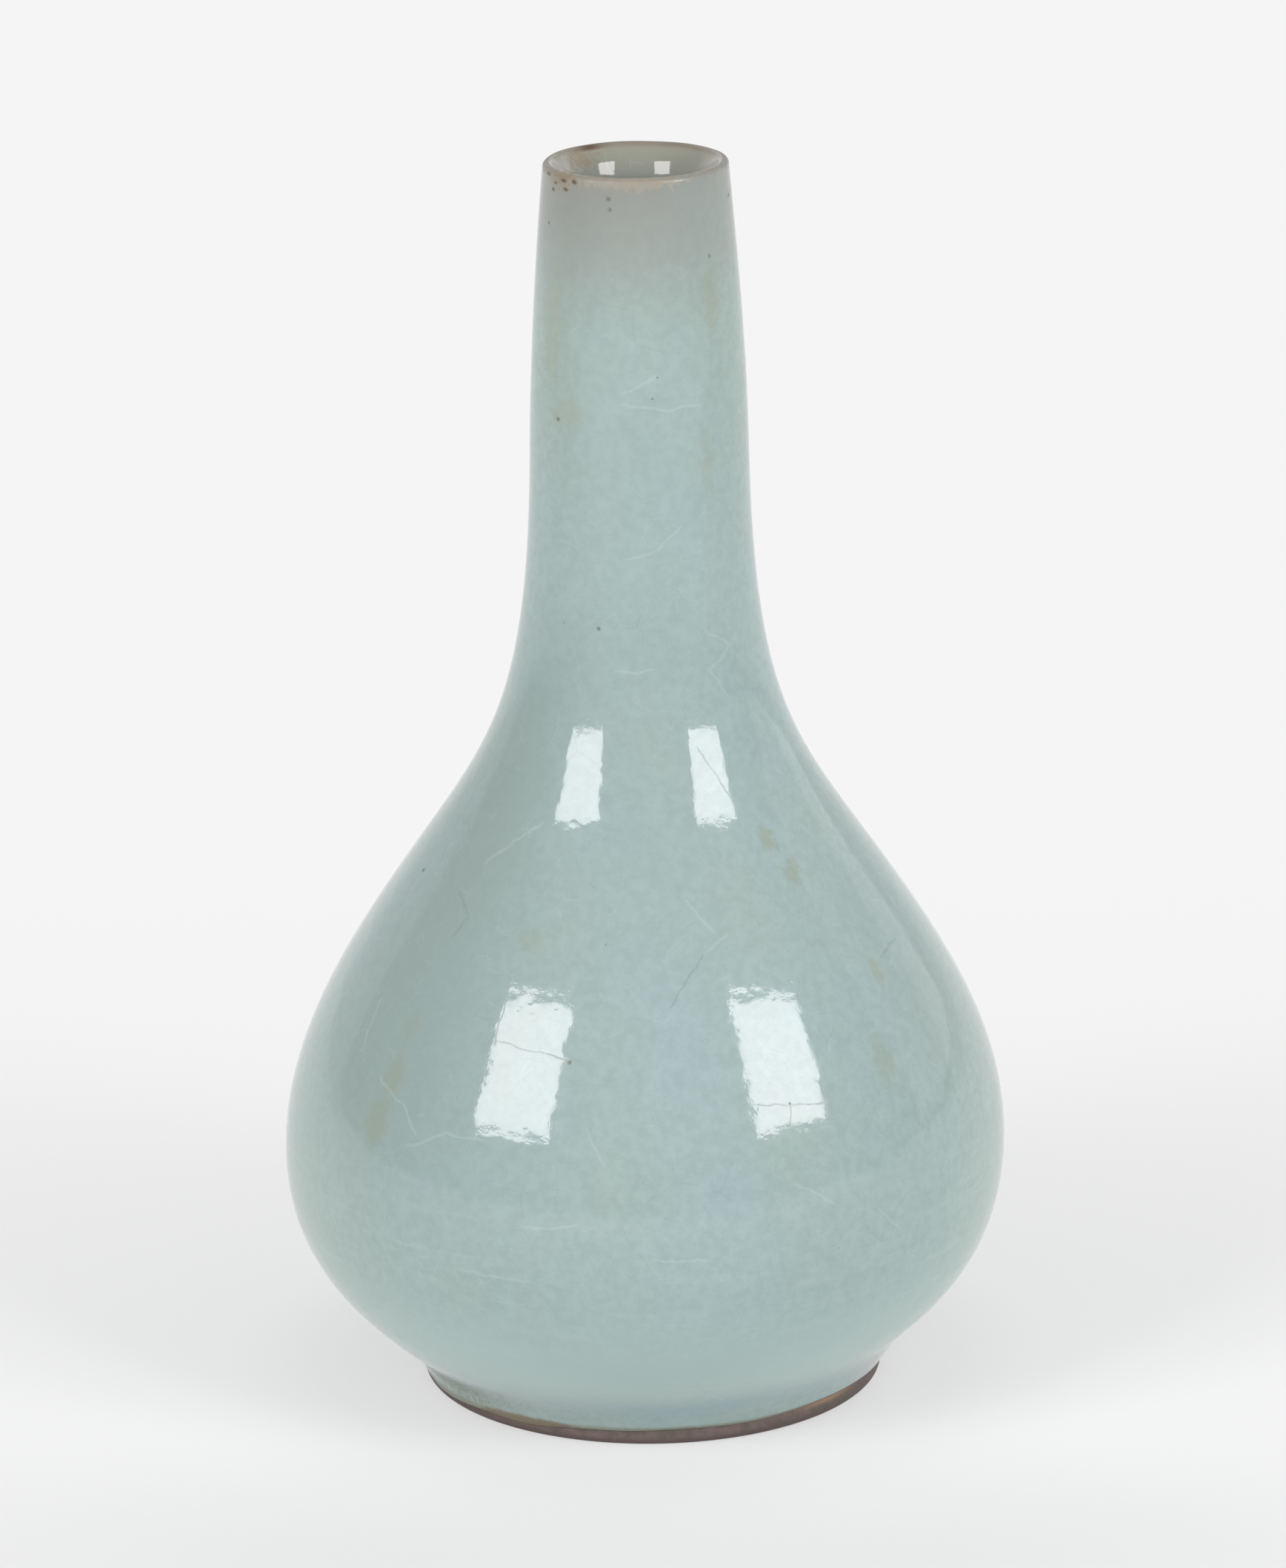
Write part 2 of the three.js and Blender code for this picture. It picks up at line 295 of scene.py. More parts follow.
def outline(shape, steps):
    """The glazed outside from the crease to the mouth, as points and headings of four cubics
    that meet at the belly, the shoulder and the neck with one tangent and one curvature each."""
    crease = (shape.crease_radius, shape.crease_height)
    belly = (shape.belly_radius, shape.belly_height)
    shoulder = (shape.shoulder_radius, shape.shoulder_height)
    neck = (shape.neck_radius, shape.neck_height)
    mouth = (shape.mouth_radius, shape.mouth_height)
    spans = [
        (crease, CREASE_LEAN, CREASE_PULL, belly, 0.0, BELLY_PULLS[0]),
        (belly, 0.0, BELLY_PULLS[1], shoulder, SHOULDER_LEAN, SHOULDER_PULLS[0]),
        (shoulder, SHOULDER_LEAN, SHOULDER_PULLS[1], neck, NECK_LEAN, NECK_PULLS[0]),
        (neck, NECK_LEAN, NECK_PULLS[1], mouth, MOUTH_LEAN, MOUTH_PULL),
    ]
    points, headings = [], []
    for low, low_lean, low_pull, high, high_lean, high_pull in spans:
        start_pull = np.array(low) + heading(low_lean) * low_pull
        end_pull = np.array(high) - heading(high_lean) * high_pull
        some, ways = bezier(low, start_pull, end_pull, high, steps)
        first = 1 if points else 0
        points.append(some[first:])
        headings.append(ways[first:])
    return np.vstack(points), np.vstack(headings)


def sink(points, headings, depth):
    """Points moved inward, square to their headings, by a depth."""
    inward = np.stack([-headings[:, 1], headings[:, 0]], axis=1)
    return points + inward * np.asarray(depth).reshape(-1, 1)


def arc(centre, radius, start, end, steps):
    """Points on a circle of radius and height about a centre, between two angles in degrees."""
    angles = np.radians(np.linspace(start, end, steps + 1))
    return np.stack([centre[0] + radius * np.cos(angles), centre[1] + radius * np.sin(angles)], axis=1)


def smooth_step(low, high, values):
    """0 below low, 1 above high, and 3t^2 - 2t^3 between."""
    t = np.clip((values - low) / (high - low), 0, 1)
    return t * t * (3 - 2 * t)


def hump(values, middle, width):
    """1 at the middle, falling away on both sides as exp(-((v - middle) / width)^2)."""
    return np.exp(-(((values - middle) / width) ** 2))


def from_front(x, y):
    """Degrees round the vase from its front: 0 at the front, above zero to the right."""
    return np.degrees(np.arctan2(x, -y))


def facing(turned, middle, width):
    """A hump round the vase, about a direction in degrees from the front."""
    return hump((turned - middle + 180) % 360 - 180, 0, width)


# Turned meshes


def turn(profile, around):
    """The profile carried round Z: x = r cos a, y = r sin a, z = h, as a grid of profile by angle."""
    angles = np.linspace(0, 2 * math.pi, around, endpoint=False)
    radius, height = profile[:, :1], profile[:, 1:]
    x, y = radius * np.cos(angles), radius * np.sin(angles)
    return np.stack([x, y, np.broadcast_to(height, x.shape)], axis=2)


def waver(angle, sines):
    """The sum of sines of the angle, each by its turns in a round, its shift and its height."""
    return sum(height * np.sin(turns * angle + shift) for turns, shift, height in sines)


def thrown(grid, shape):
    """A hand-thrown outside: its middle sways left in the lower belly and at the mouth, and right
    at the foot. The wall ripples by a sine of height, the round is a little oval by the cosine of
    twice the angle, and the coat swells over the left of the foot. The lip leans up to the right
    and the front, and wavers by sines of the angle."""
    x, y, z = grid[..., 0], grid[..., 1], grid[..., 2]
    radius = np.hypot(x, y)
    angle = np.arctan2(y, x)
    low = smooth_step(*FOOT_SPAN, z)
    high = 1 - smooth_step(*BELLY_SPAN, z)
    sway = shape.foot_sway * (1 - low) - shape.belly_sway * low * high
    sway = sway - shape.mouth_sway * smooth_step(*MOUTH_SPAN, z)
    pitch = z / RING_RISE + RING_WANDER * np.sin(z / RING_DRIFT)
    ripple = shape.throwing * np.sin(pitch + RING_SLANT * angle)
    ripple = ripple * smooth_step(*RING_SPAN, z) * (1 - CALM * smooth_step(*CALM_SPAN, z))
    oval = OVAL * np.cos(2 * angle + OVAL_SHIFT) * smooth_step(*OVAL_SPAN, z)
    oval = oval * (1 - smooth_step(*ROUND_SPAN, z))
    swelling = SWELLING * facing(from_front(x, y), *SWELLING_WAY) * hump(z, *SWELLING_HEIGHTS)
    scale = (radius + ripple + oval + swelling) / np.maximum(radius, SLACK)
    lean = LIP_RISE_RIGHT * x + LIP_RISE_BACK * y
    lift = (lean + waver(angle, LIP_SINES)) * smooth_step(*LIP_SPAN, z)
    return np.stack([x * scale + sway, y * scale, z + lift], axis=2)


def grid_faces(rows, columns, closed):
    """Quads of a grid whose columns close round, and whose rows do too where closed is set."""
    last = rows if closed else rows - 1
    i, j = np.meshgrid(np.arange(last), np.arange(columns), indexing="ij")
    i2, j2 = (i + 1) % rows, (j + 1) % columns
    corners = [i * columns + j, i * columns + j2, i2 * columns + j2, i2 * columns + j]
    return np.stack(corners, axis=-1).reshape(-1, 4)


def cap_faces(row_start, columns, pole, upward):
    """Triangles from one ring of the grid to a pole vertex."""
    j = np.arange(columns)
    j2 = (j + 1) % columns
    ring, following = (row_start + j, row_start + j2) if upward else (row_start + j2, row_start + j)
    return np.stack([ring, following, np.full(columns, pole)], axis=1)


def add_object(name, data):
    """A new object in the scene."""
    made = bpy.data.objects.new(name, data)
    bpy.context.scene.collection.objects.link(made)
    return made


def mesh_piece(name, grid, closed=False, low_pole=None, high_pole=None, masks=None):
    """A piece from a grid of points, with poles where the profile meets the axis, and with
    float attributes from masks of the grid's shape."""
    rows, columns = grid.shape[:2]
    points = grid.reshape(-1, 3)
    faces = grid_faces(rows, columns, closed).tolist()
    extra = {key: mask.reshape(-1) for key, mask in (masks or {}).items()}
    if low_pole is not None:
        points = np.vstack([points, low_pole])
        faces += cap_faces(0, columns, len(points) - 1, False).tolist()
        extra = {key: np.append(values, values[0]) for key, values in extra.items()}
    if high_pole is not None:
        points = np.vstack([points, high_pole])
        faces += cap_faces((rows - 1) * columns, columns, len(points) - 1, True).tolist()
        extra = {key: np.append(values, values[(rows - 1) * columns]) for key, values in extra.items()}
    mesh = bpy.data.meshes.new(name)
    mesh.from_pydata(points, [], faces)
    mesh.shade_smooth()
    for key, values in extra.items():
        layer = mesh.attributes.new(key, "FLOAT", "POINT")
        layer.data.foreach_set("value", values.astype(np.float32))
    mesh.validate()
    return add_object(name, mesh)


def seat(piece, node, material):
    """The piece takes its material, rides on the vase, and hides the CAD node in its place."""
    piece.data.materials.append(material)
    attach(piece, "root")
    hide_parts(node)


# Material nodes

ORIGIN = (0.0, 0.0, 0.0)


def node(tree, kind, inputs=None, **choices):
    """A node with its choices set, and its inputs set or linked."""
    made = tree.nodes.new(kind)
    for key, value in choices.items():
        setattr(made, key, value)
    for key, value in (inputs or {}).items():
        if isinstance(value, bpy.types.NodeSocket):
            tree.links.new(value, made.inputs[key])
        else:
            made.inputs[key].default_value = value
    return made


def calculate(tree, operation, first, second=0.0, clamp=False):
    """The result of a math node."""
    made = node(tree, "ShaderNodeMath", {0: first, 1: second}, operation=operation, use_clamp=clamp)
    return made.outputs[0]


def times(tree, first, second):
    """The product of two values."""
    return calculate(tree, "MULTIPLY", first, second)


def plus(tree, first, second, clamp=False):
    """The sum of two values."""
    return calculate(tree, "ADD", first, second, clamp)


def minus(tree, first, second, clamp=False):
    """The second value taken from the first."""
    return calculate(tree, "SUBTRACT", first, second, clamp)


def ratio(tree, first, second):
    """The first value divided by the second."""
    return calculate(tree, "DIVIDE", first, second)


def strongest(tree, values):
    """The largest of several values."""
    result = values[0]
    for value in values[1:]:
        result = calculate(tree, "MAXIMUM", result, value)
    return result


def vector(tree, operation, first, second=ORIGIN):
    """The vector that a vector math node gives."""
    return node(tree, "ShaderNodeVectorMath", {0: first, 1: second}, operation=operation).outputs["Vector"]


def measure(tree, operation, first, second=ORIGIN):
    """The number that a vector math node gives."""
    return node(tree, "ShaderNodeVectorMath", {0: first, 1: second}, operation=operation).outputs["Value"]


def scaled(tree, first, factor):
    """A vector times a number."""
    made = node(tree, "ShaderNodeVectorMath", {0: first, "Scale": factor}, operation="SCALE")
    return made.outputs["Vector"]


def blend(tree, share, first, second, kind="MIX"):
    """Two colours mixed by a share."""
    made = node(
        tree, "ShaderNodeMix", {0: share, 6: first, 7: second}, data_type="RGBA", blend_type=kind
    )
    return made.outputs[2]


def tint(tree, tone, mask, depth, colour_value):
    """The tone changed towards a colour where a mask is high, by at most a depth."""
    return blend(tree, times(tree, mask, depth), tone, colour_value)


def attribute(tree, name):
    """A float attribute of the piece."""
    return node(tree, "ShaderNodeAttribute", attribute_name=name).outputs["Fac"]


def cover(tree, tone, layers):
    """The tone covered by each layer's colour where the attribute of its name is high."""
    for name, colour_value in layers.items():
        tone = blend(tree, attribute(tree, name), tone, colour_value)
    return tone


def band(tree, value, low, high):
    """0 where the value is below low, 1 above high, and smooth between; low may be the larger."""
    made = node(
        tree,
        "ShaderNodeMapRange",
        {"Value": value, "From Min": low, "From Max": high},
        interpolation_type="SMOOTHSTEP",
    )
    return made.outputs["Result"]


def noise(tree, place, scale, detail=3.0, roughness=0.5):
    """Smooth noise from 0 to 1."""
    made = node(
        tree,
        "ShaderNodeTexNoise",
        {"Vector": place, "Scale": scale, "Detail": detail, "Roughness": roughness},
    )
    return made.outputs["Fac"]


def cells(tree, place, scale, feature="F1"):
    """The outputs of a node of Voronoi cells."""
    return node(tree, "ShaderNodeTexVoronoi", {"Vector": place, "Scale": scale}, feature=feature).outputs


def new_group(name, inputs, outputs, kind="NodeSocketFloat"):
    """An empty node group with a place to read, its other inputs with their defaults, and outputs
    of one kind. An input is a vector where its default has three numbers."""
    tree = bpy.data.node_groups.new(name, "ShaderNodeTree")
    for label, default in {"Vector": ORIGIN, **inputs}.items():
        socket_type = "NodeSocketVector" if isinstance(default, tuple) else "NodeSocketFloat"
        socket = tree.interface.new_socket(name=label, in_out="INPUT", socket_type=socket_type)
        socket.default_value = default
    for label in outputs:
        tree.interface.new_socket(name=label, in_out="OUTPUT", socket_type=kind)
    return tree, tree.nodes.new("NodeGroupInput").outputs, tree.nodes.new("NodeGroupOutput").inputs


def use_group(tree, name, place, **inputs):
    """The outputs of a group in a material, read at a place and with the material's own values."""
    group = bpy.data.node_groups[name]
    return node(tree, "ShaderNodeGroup", {"Vector": place, **inputs}, node_tree=group).outputs


def make_wander_group():
    """A place moved about by slow noise, so that straight lines read there come out bent."""
    tree, given, result = new_group(
        "Wander", {"Scale": 0.2, "Reach": 1.0}, ["Vector"], "NodeSocketVector"
    )
    slow = {"Vector": given["Vector"], "Scale": given["Scale"], "Detail": 3.0}
    drift = node(tree, "ShaderNodeTexNoise", slow).outputs["Color"]
    centred = vector(tree, "SUBTRACT", drift, (0.5, 0.5, 0.5))
    moved = vector(tree, "ADD", given["Vector"], scaled(tree, centred, given["Reach"]))
    tree.links.new(moved, result["Vector"])


def make_crackle_group():
    """A net of crackle: the edges of Voronoi cells, kept only where a slow noise is high."""
    tree, given, result = new_group("Crackle", {"Cell": 16.0, "Width": 0.1, "Keep": 0.5}, ["Line"])
    scale = ratio(tree, 1.0, given["Cell"])
    edges = cells(tree, given["Vector"], scale, "DISTANCE_TO_EDGE")
    near = ratio(tree, edges["Distance"], ratio(tree, given["Width"], given["Cell"]))
    line = minus(tree, 1.0, near, clamp=True)
    kept = noise(tree, given["Vector"], times(tree, scale, 0.9), detail=2.0)
    shown = band(tree, kept, given["Keep"], plus(tree, given["Keep"], 0.08))
    tree.links.new(times(tree, line, shown), result["Line"])


def make_hairline_group():
    """One hairline: the places near a plane through its middle, within its reach of the middle."""
    tree, given, result = new_group(
        "Hairline", {"Middle": ORIGIN, "Across": (0.0, 0.0, 1.0), "Reach": 5.0, "Width": 0.15}, ["Line"]
    )
    away = vector(tree, "SUBTRACT", given["Vector"], given["Middle"])
    offset = calculate(tree, "ABSOLUTE", measure(tree, "DOT_PRODUCT", away, given["Across"]))
    near = minus(tree, 1.0, ratio(tree, offset, given["Width"]), clamp=True)
    share = ratio(tree, measure(tree, "LENGTH", away), given["Reach"])
    tree.links.new(times(tree, near, band(tree, share, 1.0, 0.7)), result["Line"])


def make_speck_group():
    """Sparse round specks: the middles of Voronoi cells, kept where each cell's random value is high."""
    tree, given, result = new_group("Specks", {"Cell": 5.0, "Radius": 0.2, "Rarity": 0.8}, ["Mask"])
    spots = cells(tree, given["Vector"], ratio(tree, 1.0, given["Cell"]))
    chance = node(tree, "ShaderNodeSeparateColor", {"Color": spots["Color"]}).outputs
    size = plus(tree, times(tree, chance["Green"], 0.8), 0.4)
    radius = times(tree, ratio(tree, given["Radius"], given["Cell"]), size)
    near = band(tree, spots["Distance"], radius, times(tree, radius, 0.4))
    rare = calculate(tree, "GREATER_THAN", chance["Red"], given["Rarity"])
    tree.links.new(times(tree, near, rare), result["Mask"])


def make_skin_group():
    """The skin of a thick glaze: slow waves, fine orange peel, and the rims of burst bubbles."""
    tree, given, result = new_group("Glaze skin", {"Bubble": 0.5}, ["Height", "Grain"])
    place = given["Vector"]
    fine = ratio(tree, 1.0, given["Bubble"])
    waves = times(tree, noise(tree, place, 0.2, detail=2.0), 2.2)
    peel = times(tree, noise(tree, place, times(tree, fine, 0.4), detail=2.0), 0.32)
    dimple = band(tree, cells(tree, place, fine)["Distance"], 0.0, 0.5)
    raised = plus(tree, plus(tree, waves, peel), times(tree, dimple, 0.06))
    tree.links.new(raised, result["Height"])
    clots = noise(tree, place, times(tree, fine, 0.36), detail=2.5, roughness=0.6)
    grain = plus(tree, times(tree, dimple, 0.12), band(tree, clots, 0.32, 0.68))
    tree.links.new(times(tree, grain, 0.9), result["Grain"])


def make_stain_group():
    """A soft ragged patch: 1 at a centre, fading to 0 at a reach along each axis."""
    tree, given, result = new_group(
        "Stain", {"Centre": ORIGIN, "Reach": (1.0, 1.0, 1.0), "Rough": 0.5, "Ragged": 1.0}, ["Mask"]
    )
    away = vector(tree, "SUBTRACT", given["Vector"], given["Centre"])
    share = measure(tree, "LENGTH", vector(tree, "DIVIDE", away, given["Reach"]))
    edge = plus(tree, share, ragged_edge(tree, given["Rough"], given["Ragged"]))
    tree.links.new(band(tree, edge, 1.0, 0.3), result["Mask"])


def ragged_edge(tree, rough, ragged):
    """A rough noise about zero, times how ragged an edge is."""
    return times(tree, minus(tree, rough, 0.5), ragged)


def new_material(name):
    """An empty material, its shader, and Object coordinates in millimetres."""
    material = bpy.data.materials.new(name)
    material.use_nodes = True
    tree = material.node_tree
    shader = tree.nodes["Principled BSDF"]
    place = node(tree, "ShaderNodeTexCoord").outputs["Object"]
    return material, tree, shader, scaled(tree, place, 1 / MM)


def bump(tree, shader, height, distance):
    """A height of 0 to 1 over a distance, as the shader's normal."""
    made = node(tree, "ShaderNodeBump", {"Height": height, "Distance": distance})
    tree.links.new(made.outputs["Normal"], shader.inputs["Normal"])


# Marks in the glaze, each by its degrees from the front and its height in millimetres.
# A hairline runs from its first place to its second.
PALE_LINES = (
    (-8, 165.2, 13, 164.4),
    (13, 164.4, 34, 164.6),
    (-7, 167.2, 9, 169.7),
    (-6, 140.7, 8, 141.8),
    (8, 141.8, 20, 145.4),
    (31, 128.7, 46, 125.4),
    (46, 125.4, 32, 122.2),
    (32, 122.2, 41, 117.6),
    (-11, 122.8, 5, 123.2),
    (-48, 93.1, -34, 99.6),
    (11, 90.2, 16, 85.9),
    (14, 83.1, 19, 85.1),
    (-52, 60.9, -46, 58.5),
    (-45, 58.1, -41, 54.8),
    (-42, 52.5, -35, 55.7),
    (-35, 55.7, -28, 55.9),
    (-10, 58.6, -7, 53.8),
    (-20, 43.6, -11, 44.6),
    (1, 39.3, 9, 38.8),
    (-30, 35.0, -19, 34.8),
    (24, 49.2, 30, 45.8),
    (39, 42.5, 43, 38.3),
    (-61, 70.4, -60, 63.9),
)
DARK_LINES = (
    (-28, 69.9, -13, 68.6),
    (-29, 75.5, -29, 69.8),
    (19, 61.7, 31, 60.3),
    (25, 61.2, 24, 56.4),
    (22, 110.7, 28, 106.3),
    (28, 106.3, 31, 103.1),
    (-52, 87.9, -46, 85.1),
    (-46, 85.1, -48, 82.4),
    (5, 76.3, 13, 82.7),
    (65, 78.0, 58, 77.0),
)
# A stain spreads by a reach round the wall and a reach up it, and has a depth.
STAINS = (
    (39, 96.5, 2.2, 4.5, 0.5),
    (43, 91.5, 2.5, 3.5, 0.42),
    (54, 75.5, 1.8, 11.0, 0.42),
    (46, 64.0, 3.0, 9.0, 0.3),
    (-50, 54.5, 3.4, 6.5, 0.4),
    (-49, 62.0, 3.0, 5.0, 0.36),
    (-49, 69.0, 2.2, 5.5, 0.22),
    (-42, 163.0, 4.5, 3.6, 0.28),
    (45, 180.5, 2.6, 6.5, 0.32),
    (38, 155.0, 2.0, 9.0, 0.25),
    (-55, 176.0, 3.0, 14.0, 0.25),
    (-27, 84.0, 4.0, 2.5, 0.22),
    (165, 120.0, 2.5, 8.0, 0.4),
    (128, 62.0, 3.0, 9.0, 0.4),
    (-120, 88.0, 2.5, 6.0, 0.35),
)
# A scorched spot has a reach round the lip and a reach up it.
SCORCHES = (
    (-50, 199.3, 0.9, 0.42),
    (-41, 199.4, 0.75, 0.55),
    (-58, 198.6, 0.6, 0.35),
    (-48, 198.0, 0.85, 0.4),
    (-60, 197.5, 0.75, 0.4),
    (-68, 199.5, 1.3, 0.35),
    (-78, 199.4, 1.2, 0.3),
)
# A pit is a small dark spot of iron with its radius.
PITS = (
    (-73, 87.9, 0.55),
    (-21, 129.4, 0.42),
    (-48, 161.7, 0.5),
    (-17, 197.4, 0.55),
    (-16, 195.7, 0.5),
    (-63, 192.0, 0.4),
    (74, 195.5, 0.55),
    (46, 187.4, 0.4),
    (10, 169.5, 0.26),
    (7, 166.2, 0.26),
    (25, 61.2, 0.35),
    (-14, 68.3, 0.6),
)
# A hairline fades out at this share of its length from its middle, and these millimetres more
HAIRLINE_SHARE, HAIRLINE_MORE = 0.58, 0.6
# What is left of the light under clouds in the coat, under fine bubbles and on grit
CLOUDED = (0.93, 0.93, 0.93, 1.0)
BUBBLED = (0.905, 0.91, 0.91, 1.0)
GRITTY = (0.5, 0.45, 0.4, 1.0)
# How deep the relief of the glaze's skin and of the clay's grit is
SKIN_DEPTH, GRIT_DEPTH = 0.03 * MM, 0.06 * MM
GLAZE_IOR = 1.47


def on_wall(shape, turned, height):
    """The place in millimetres on the glazed outside at degrees from the front and a height."""
    line, _ = outline(shape, steps=24)
    radius = np.interp(height * MM, line[:, 1], line[:, 0]) / MM
    angle = math.radians(turned)
    return Vector((radius * math.sin(angle), -radius * math.cos(angle), height))


def hairlines(tree, place, shape, ends, width):
    """A mask of several hairlines. Each lies in the plane that holds its two ends and the way out
    from the axis."""
    lines = []
    for start_turned, start_height, end_turned, end_height in ends:
        start = on_wall(shape, start_turned, start_height)
        end = on_wall(shape, end_turned, end_height)
        middle = on_wall(shape, (start_turned + end_turned) / 2, (start_height + end_height) / 2)
        across = (end - start).cross(Vector((middle.x, middle.y, 0))).normalized()
        line = use_group(
            tree,
            "Hairline",
            place,
            Middle=tuple((start + end) / 2),
            Across=tuple(across),
            Reach=(end - start).length * HAIRLINE_SHARE + HAIRLINE_MORE,
            Width=width,
        )
        lines.append(line["Line"])
    return strongest(tree, lines)


def patch(tree, place, middle, around, up, rough, ragged):
    """The mask of one stain about a place, with its reach round the wall and up it."""
    reach = (around, around, up)
    stain = use_group(tree, "Stain", place, Centre=tuple(middle), Reach=reach, Rough=rough, Ragged=ragged)
    return stain["Mask"]


def glaze_skin(tree, place, finish):
    """The height and the grain of the coat's skin."""
    return use_group(tree, "Glaze skin", place, Bubble=finish.bubble / MM)


def upright_streaks(tree, place):
    """Noise about zero, drawn out up the wall."""
    drawn = vector(tree, "MULTIPLY", place, (1.0, 1.0, 0.3))
    return minus(tree, noise(tree, drawn, 0.9, detail=4.0, roughness=0.65), 0.5)


def body_tone(tree, place, finish, skin):
    """The coat's colour: two greens in slow upright drifts, clouded, under fine bubbles."""
    drawn = vector(tree, "MULTIPLY", place, (1.0, 1.0, 0.45))
    slow = band(tree, noise(tree, drawn, 0.05), 0.35, 0.65)
    tone = blend(tree, slow, finish.green, finish.blue)
    cloud = band(tree, noise(tree, place, 0.3, detail=4.0, roughness=0.62), 0.3, 0.7)
    tone = blend(tree, times(tree, cloud, 0.6), tone, CLOUDED, "MULTIPLY")
    return blend(tree, skin["Grain"], tone, BUBBLED, "MULTIPLY")


def crack_layers(tree, place, finish, tone):
    """The crackle over a tone: a wide net and a fine one. Gives the new tone and the wide net."""
    bent = use_group(tree, "Wander", place, Scale=0.1, Reach=4.5)["Vector"]
    cell = finish.crack_cell / MM
    wide = use_group(tree, "Crackle", bent, Cell=cell, Width=0.12, Keep=0.52)["Line"]
    fine = use_group(tree, "Crackle", bent, Cell=cell * 0.3, Width=0.16, Keep=0.56)["Line"]
    tone = tint(tree, tone, fine, 0.17, finish.craze)
    return tint(tree, tone, wide, 0.14, finish.crackle), wide


def hairline_layers(tree, place, shape, finish, tone):
    """The hairlines over a tone. Gives the new tone and the mask of the dark ones."""
    jittered = use_group(tree, "Wander", place, Scale=0.35, Reach=1.6)["Vector"]
    pale = hairlines(tree, jittered, shape, PALE_LINES, 0.36)
    dark = hairlines(tree, jittered, shape, DARK_LINES, 0.2)
    tone = tint(tree, tone, pale, 0.3, finish.craze)
    return tint(tree, tone, dark, 0.4, finish.crackle), dark


def scorched(tree, rough, ragged):
    """The mask of the reddened clay at the lip, broken up by a rough noise."""
    near = attribute(tree, "scorch")
    broken = band(tree, plus(tree, near, ragged_edge(tree, rough, ragged)), 0.2, 0.9)
    return times(tree, broken, band(tree, near, 0.02, 0.3))


def lip_layers(tree, place, shape, finish, tone, streaks):
    """The neck greys and the lip dries out: beige streaks, a dark crown, and blotches of iron.
    Gives the new tone and the mask of the beige."""
    tone = cover(tree, tone, {"neck": finish.grey})
    beige = band(tree, plus(tree, attribute(tree, "thin"), times(tree, streaks, 1.6)), 0.4, 1.0)
    rough = noise(tree, place, 1.8, roughness=0.6)
    patchy = plus(tree, band(tree, rough, 0.6, 0.42), 0.45, clamp=True)
    tone = blend(tree, times(tree, beige, patchy), tone, finish.thin)
    crown = times(tree, attribute(tree, "crown"), band(tree, streaks, -0.35, 0.1))
    tone = blend(tree, crown, tone, finish.crown)
    tone = tint(tree, tone, attribute(tree, "char"), 0.8, finish.scorch)
    tone = tint(tree, tone, scorched(tree, rough, ragged=2.5), 0.7, finish.scald)
    spots = []
    for turned, height, around, up in SCORCHES:
        spots.append(patch(tree, place, on_wall(shape, turned, height), around, up, rough, ragged=1.6))
    return tint(tree, tone, strongest(tree, spots), 0.9, finish.scorch), beige


def hem_layers(tree, place, finish, tone, streaks):
    """The glaze pools blue above the foot, froths at its sides, and thins to olive at its edge.
    Gives the new tone and the mask of the edge."""
    pool = times(tree, attribute(tree, "pool"), band(tree, streaks, -0.5, 0.1))
    tone = blend(tree, pool, tone, finish.pool)
    bubbly = band(tree, noise(tree, place, 1.6, roughness=0.7), 0.4, 0.6)
    tone = blend(tree, times(tree, attribute(tree, "froth"), bubbly), tone, finish.froth)
    fleck = attribute(tree, "fleck")
    tone = tint(tree, tone, fleck, 0.4, finish.hem)
    freckles = band(tree, noise(tree, place, 1.5, detail=2.0), 0.52, 0.62)
    tone = tint(tree, tone, times(tree, freckles, fleck), 0.75, finish.rust)
    edge = band(tree, plus(tree, attribute(tree, "hem"), times(tree, streaks, 0.5)), 0.3, 0.8)
    tone = blend(tree, edge, tone, finish.hem)
    brown = band(tree, plus(tree, attribute(tree, "rust"), times(tree, streaks, 0.6)), 0.3, 0.75)
    return blend(tree, brown, tone, finish.rust), edge


def stain_layers(tree, place, shape, finish, tone):
    """Tea-coloured stains and iron pits. Gives the new tone and the mask of the pits."""
    rough = noise(tree, place, 0.7, detail=4.0, roughness=0.65)
    for turned, height, around, up, depth in STAINS:
        mask = patch(tree, place, on_wall(shape, turned, height), around, up, rough, ragged=1.8)
        tone = tint(tree, tone, mask, depth, finish.ochre)
    pits = []
    for turned, height, radius in PITS:
        pits.append(patch(tree, place, on_wall(shape, turned, height), radius, radius, rough, ragged=1.2))
    pit = strongest(tree, pits)
    return tint(tree, tone, pit, 0.75, finish.iron), pit


def gloss(tree, shader, place, base, dull):
    """Roughness: a base with slow drifts, raised where the surface is dull."""
    drift = times(tree, band(tree, noise(tree, place, 0.4, detail=4.0), 0.3, 0.8), 0.04)
    rough = plus(tree, plus(tree, drift, base), times(tree, dull, 0.5), clamp=True)
    tree.links.new(rough, shader.inputs["Roughness"])
    shader.inputs["IOR"].default_value = GLAZE_IOR


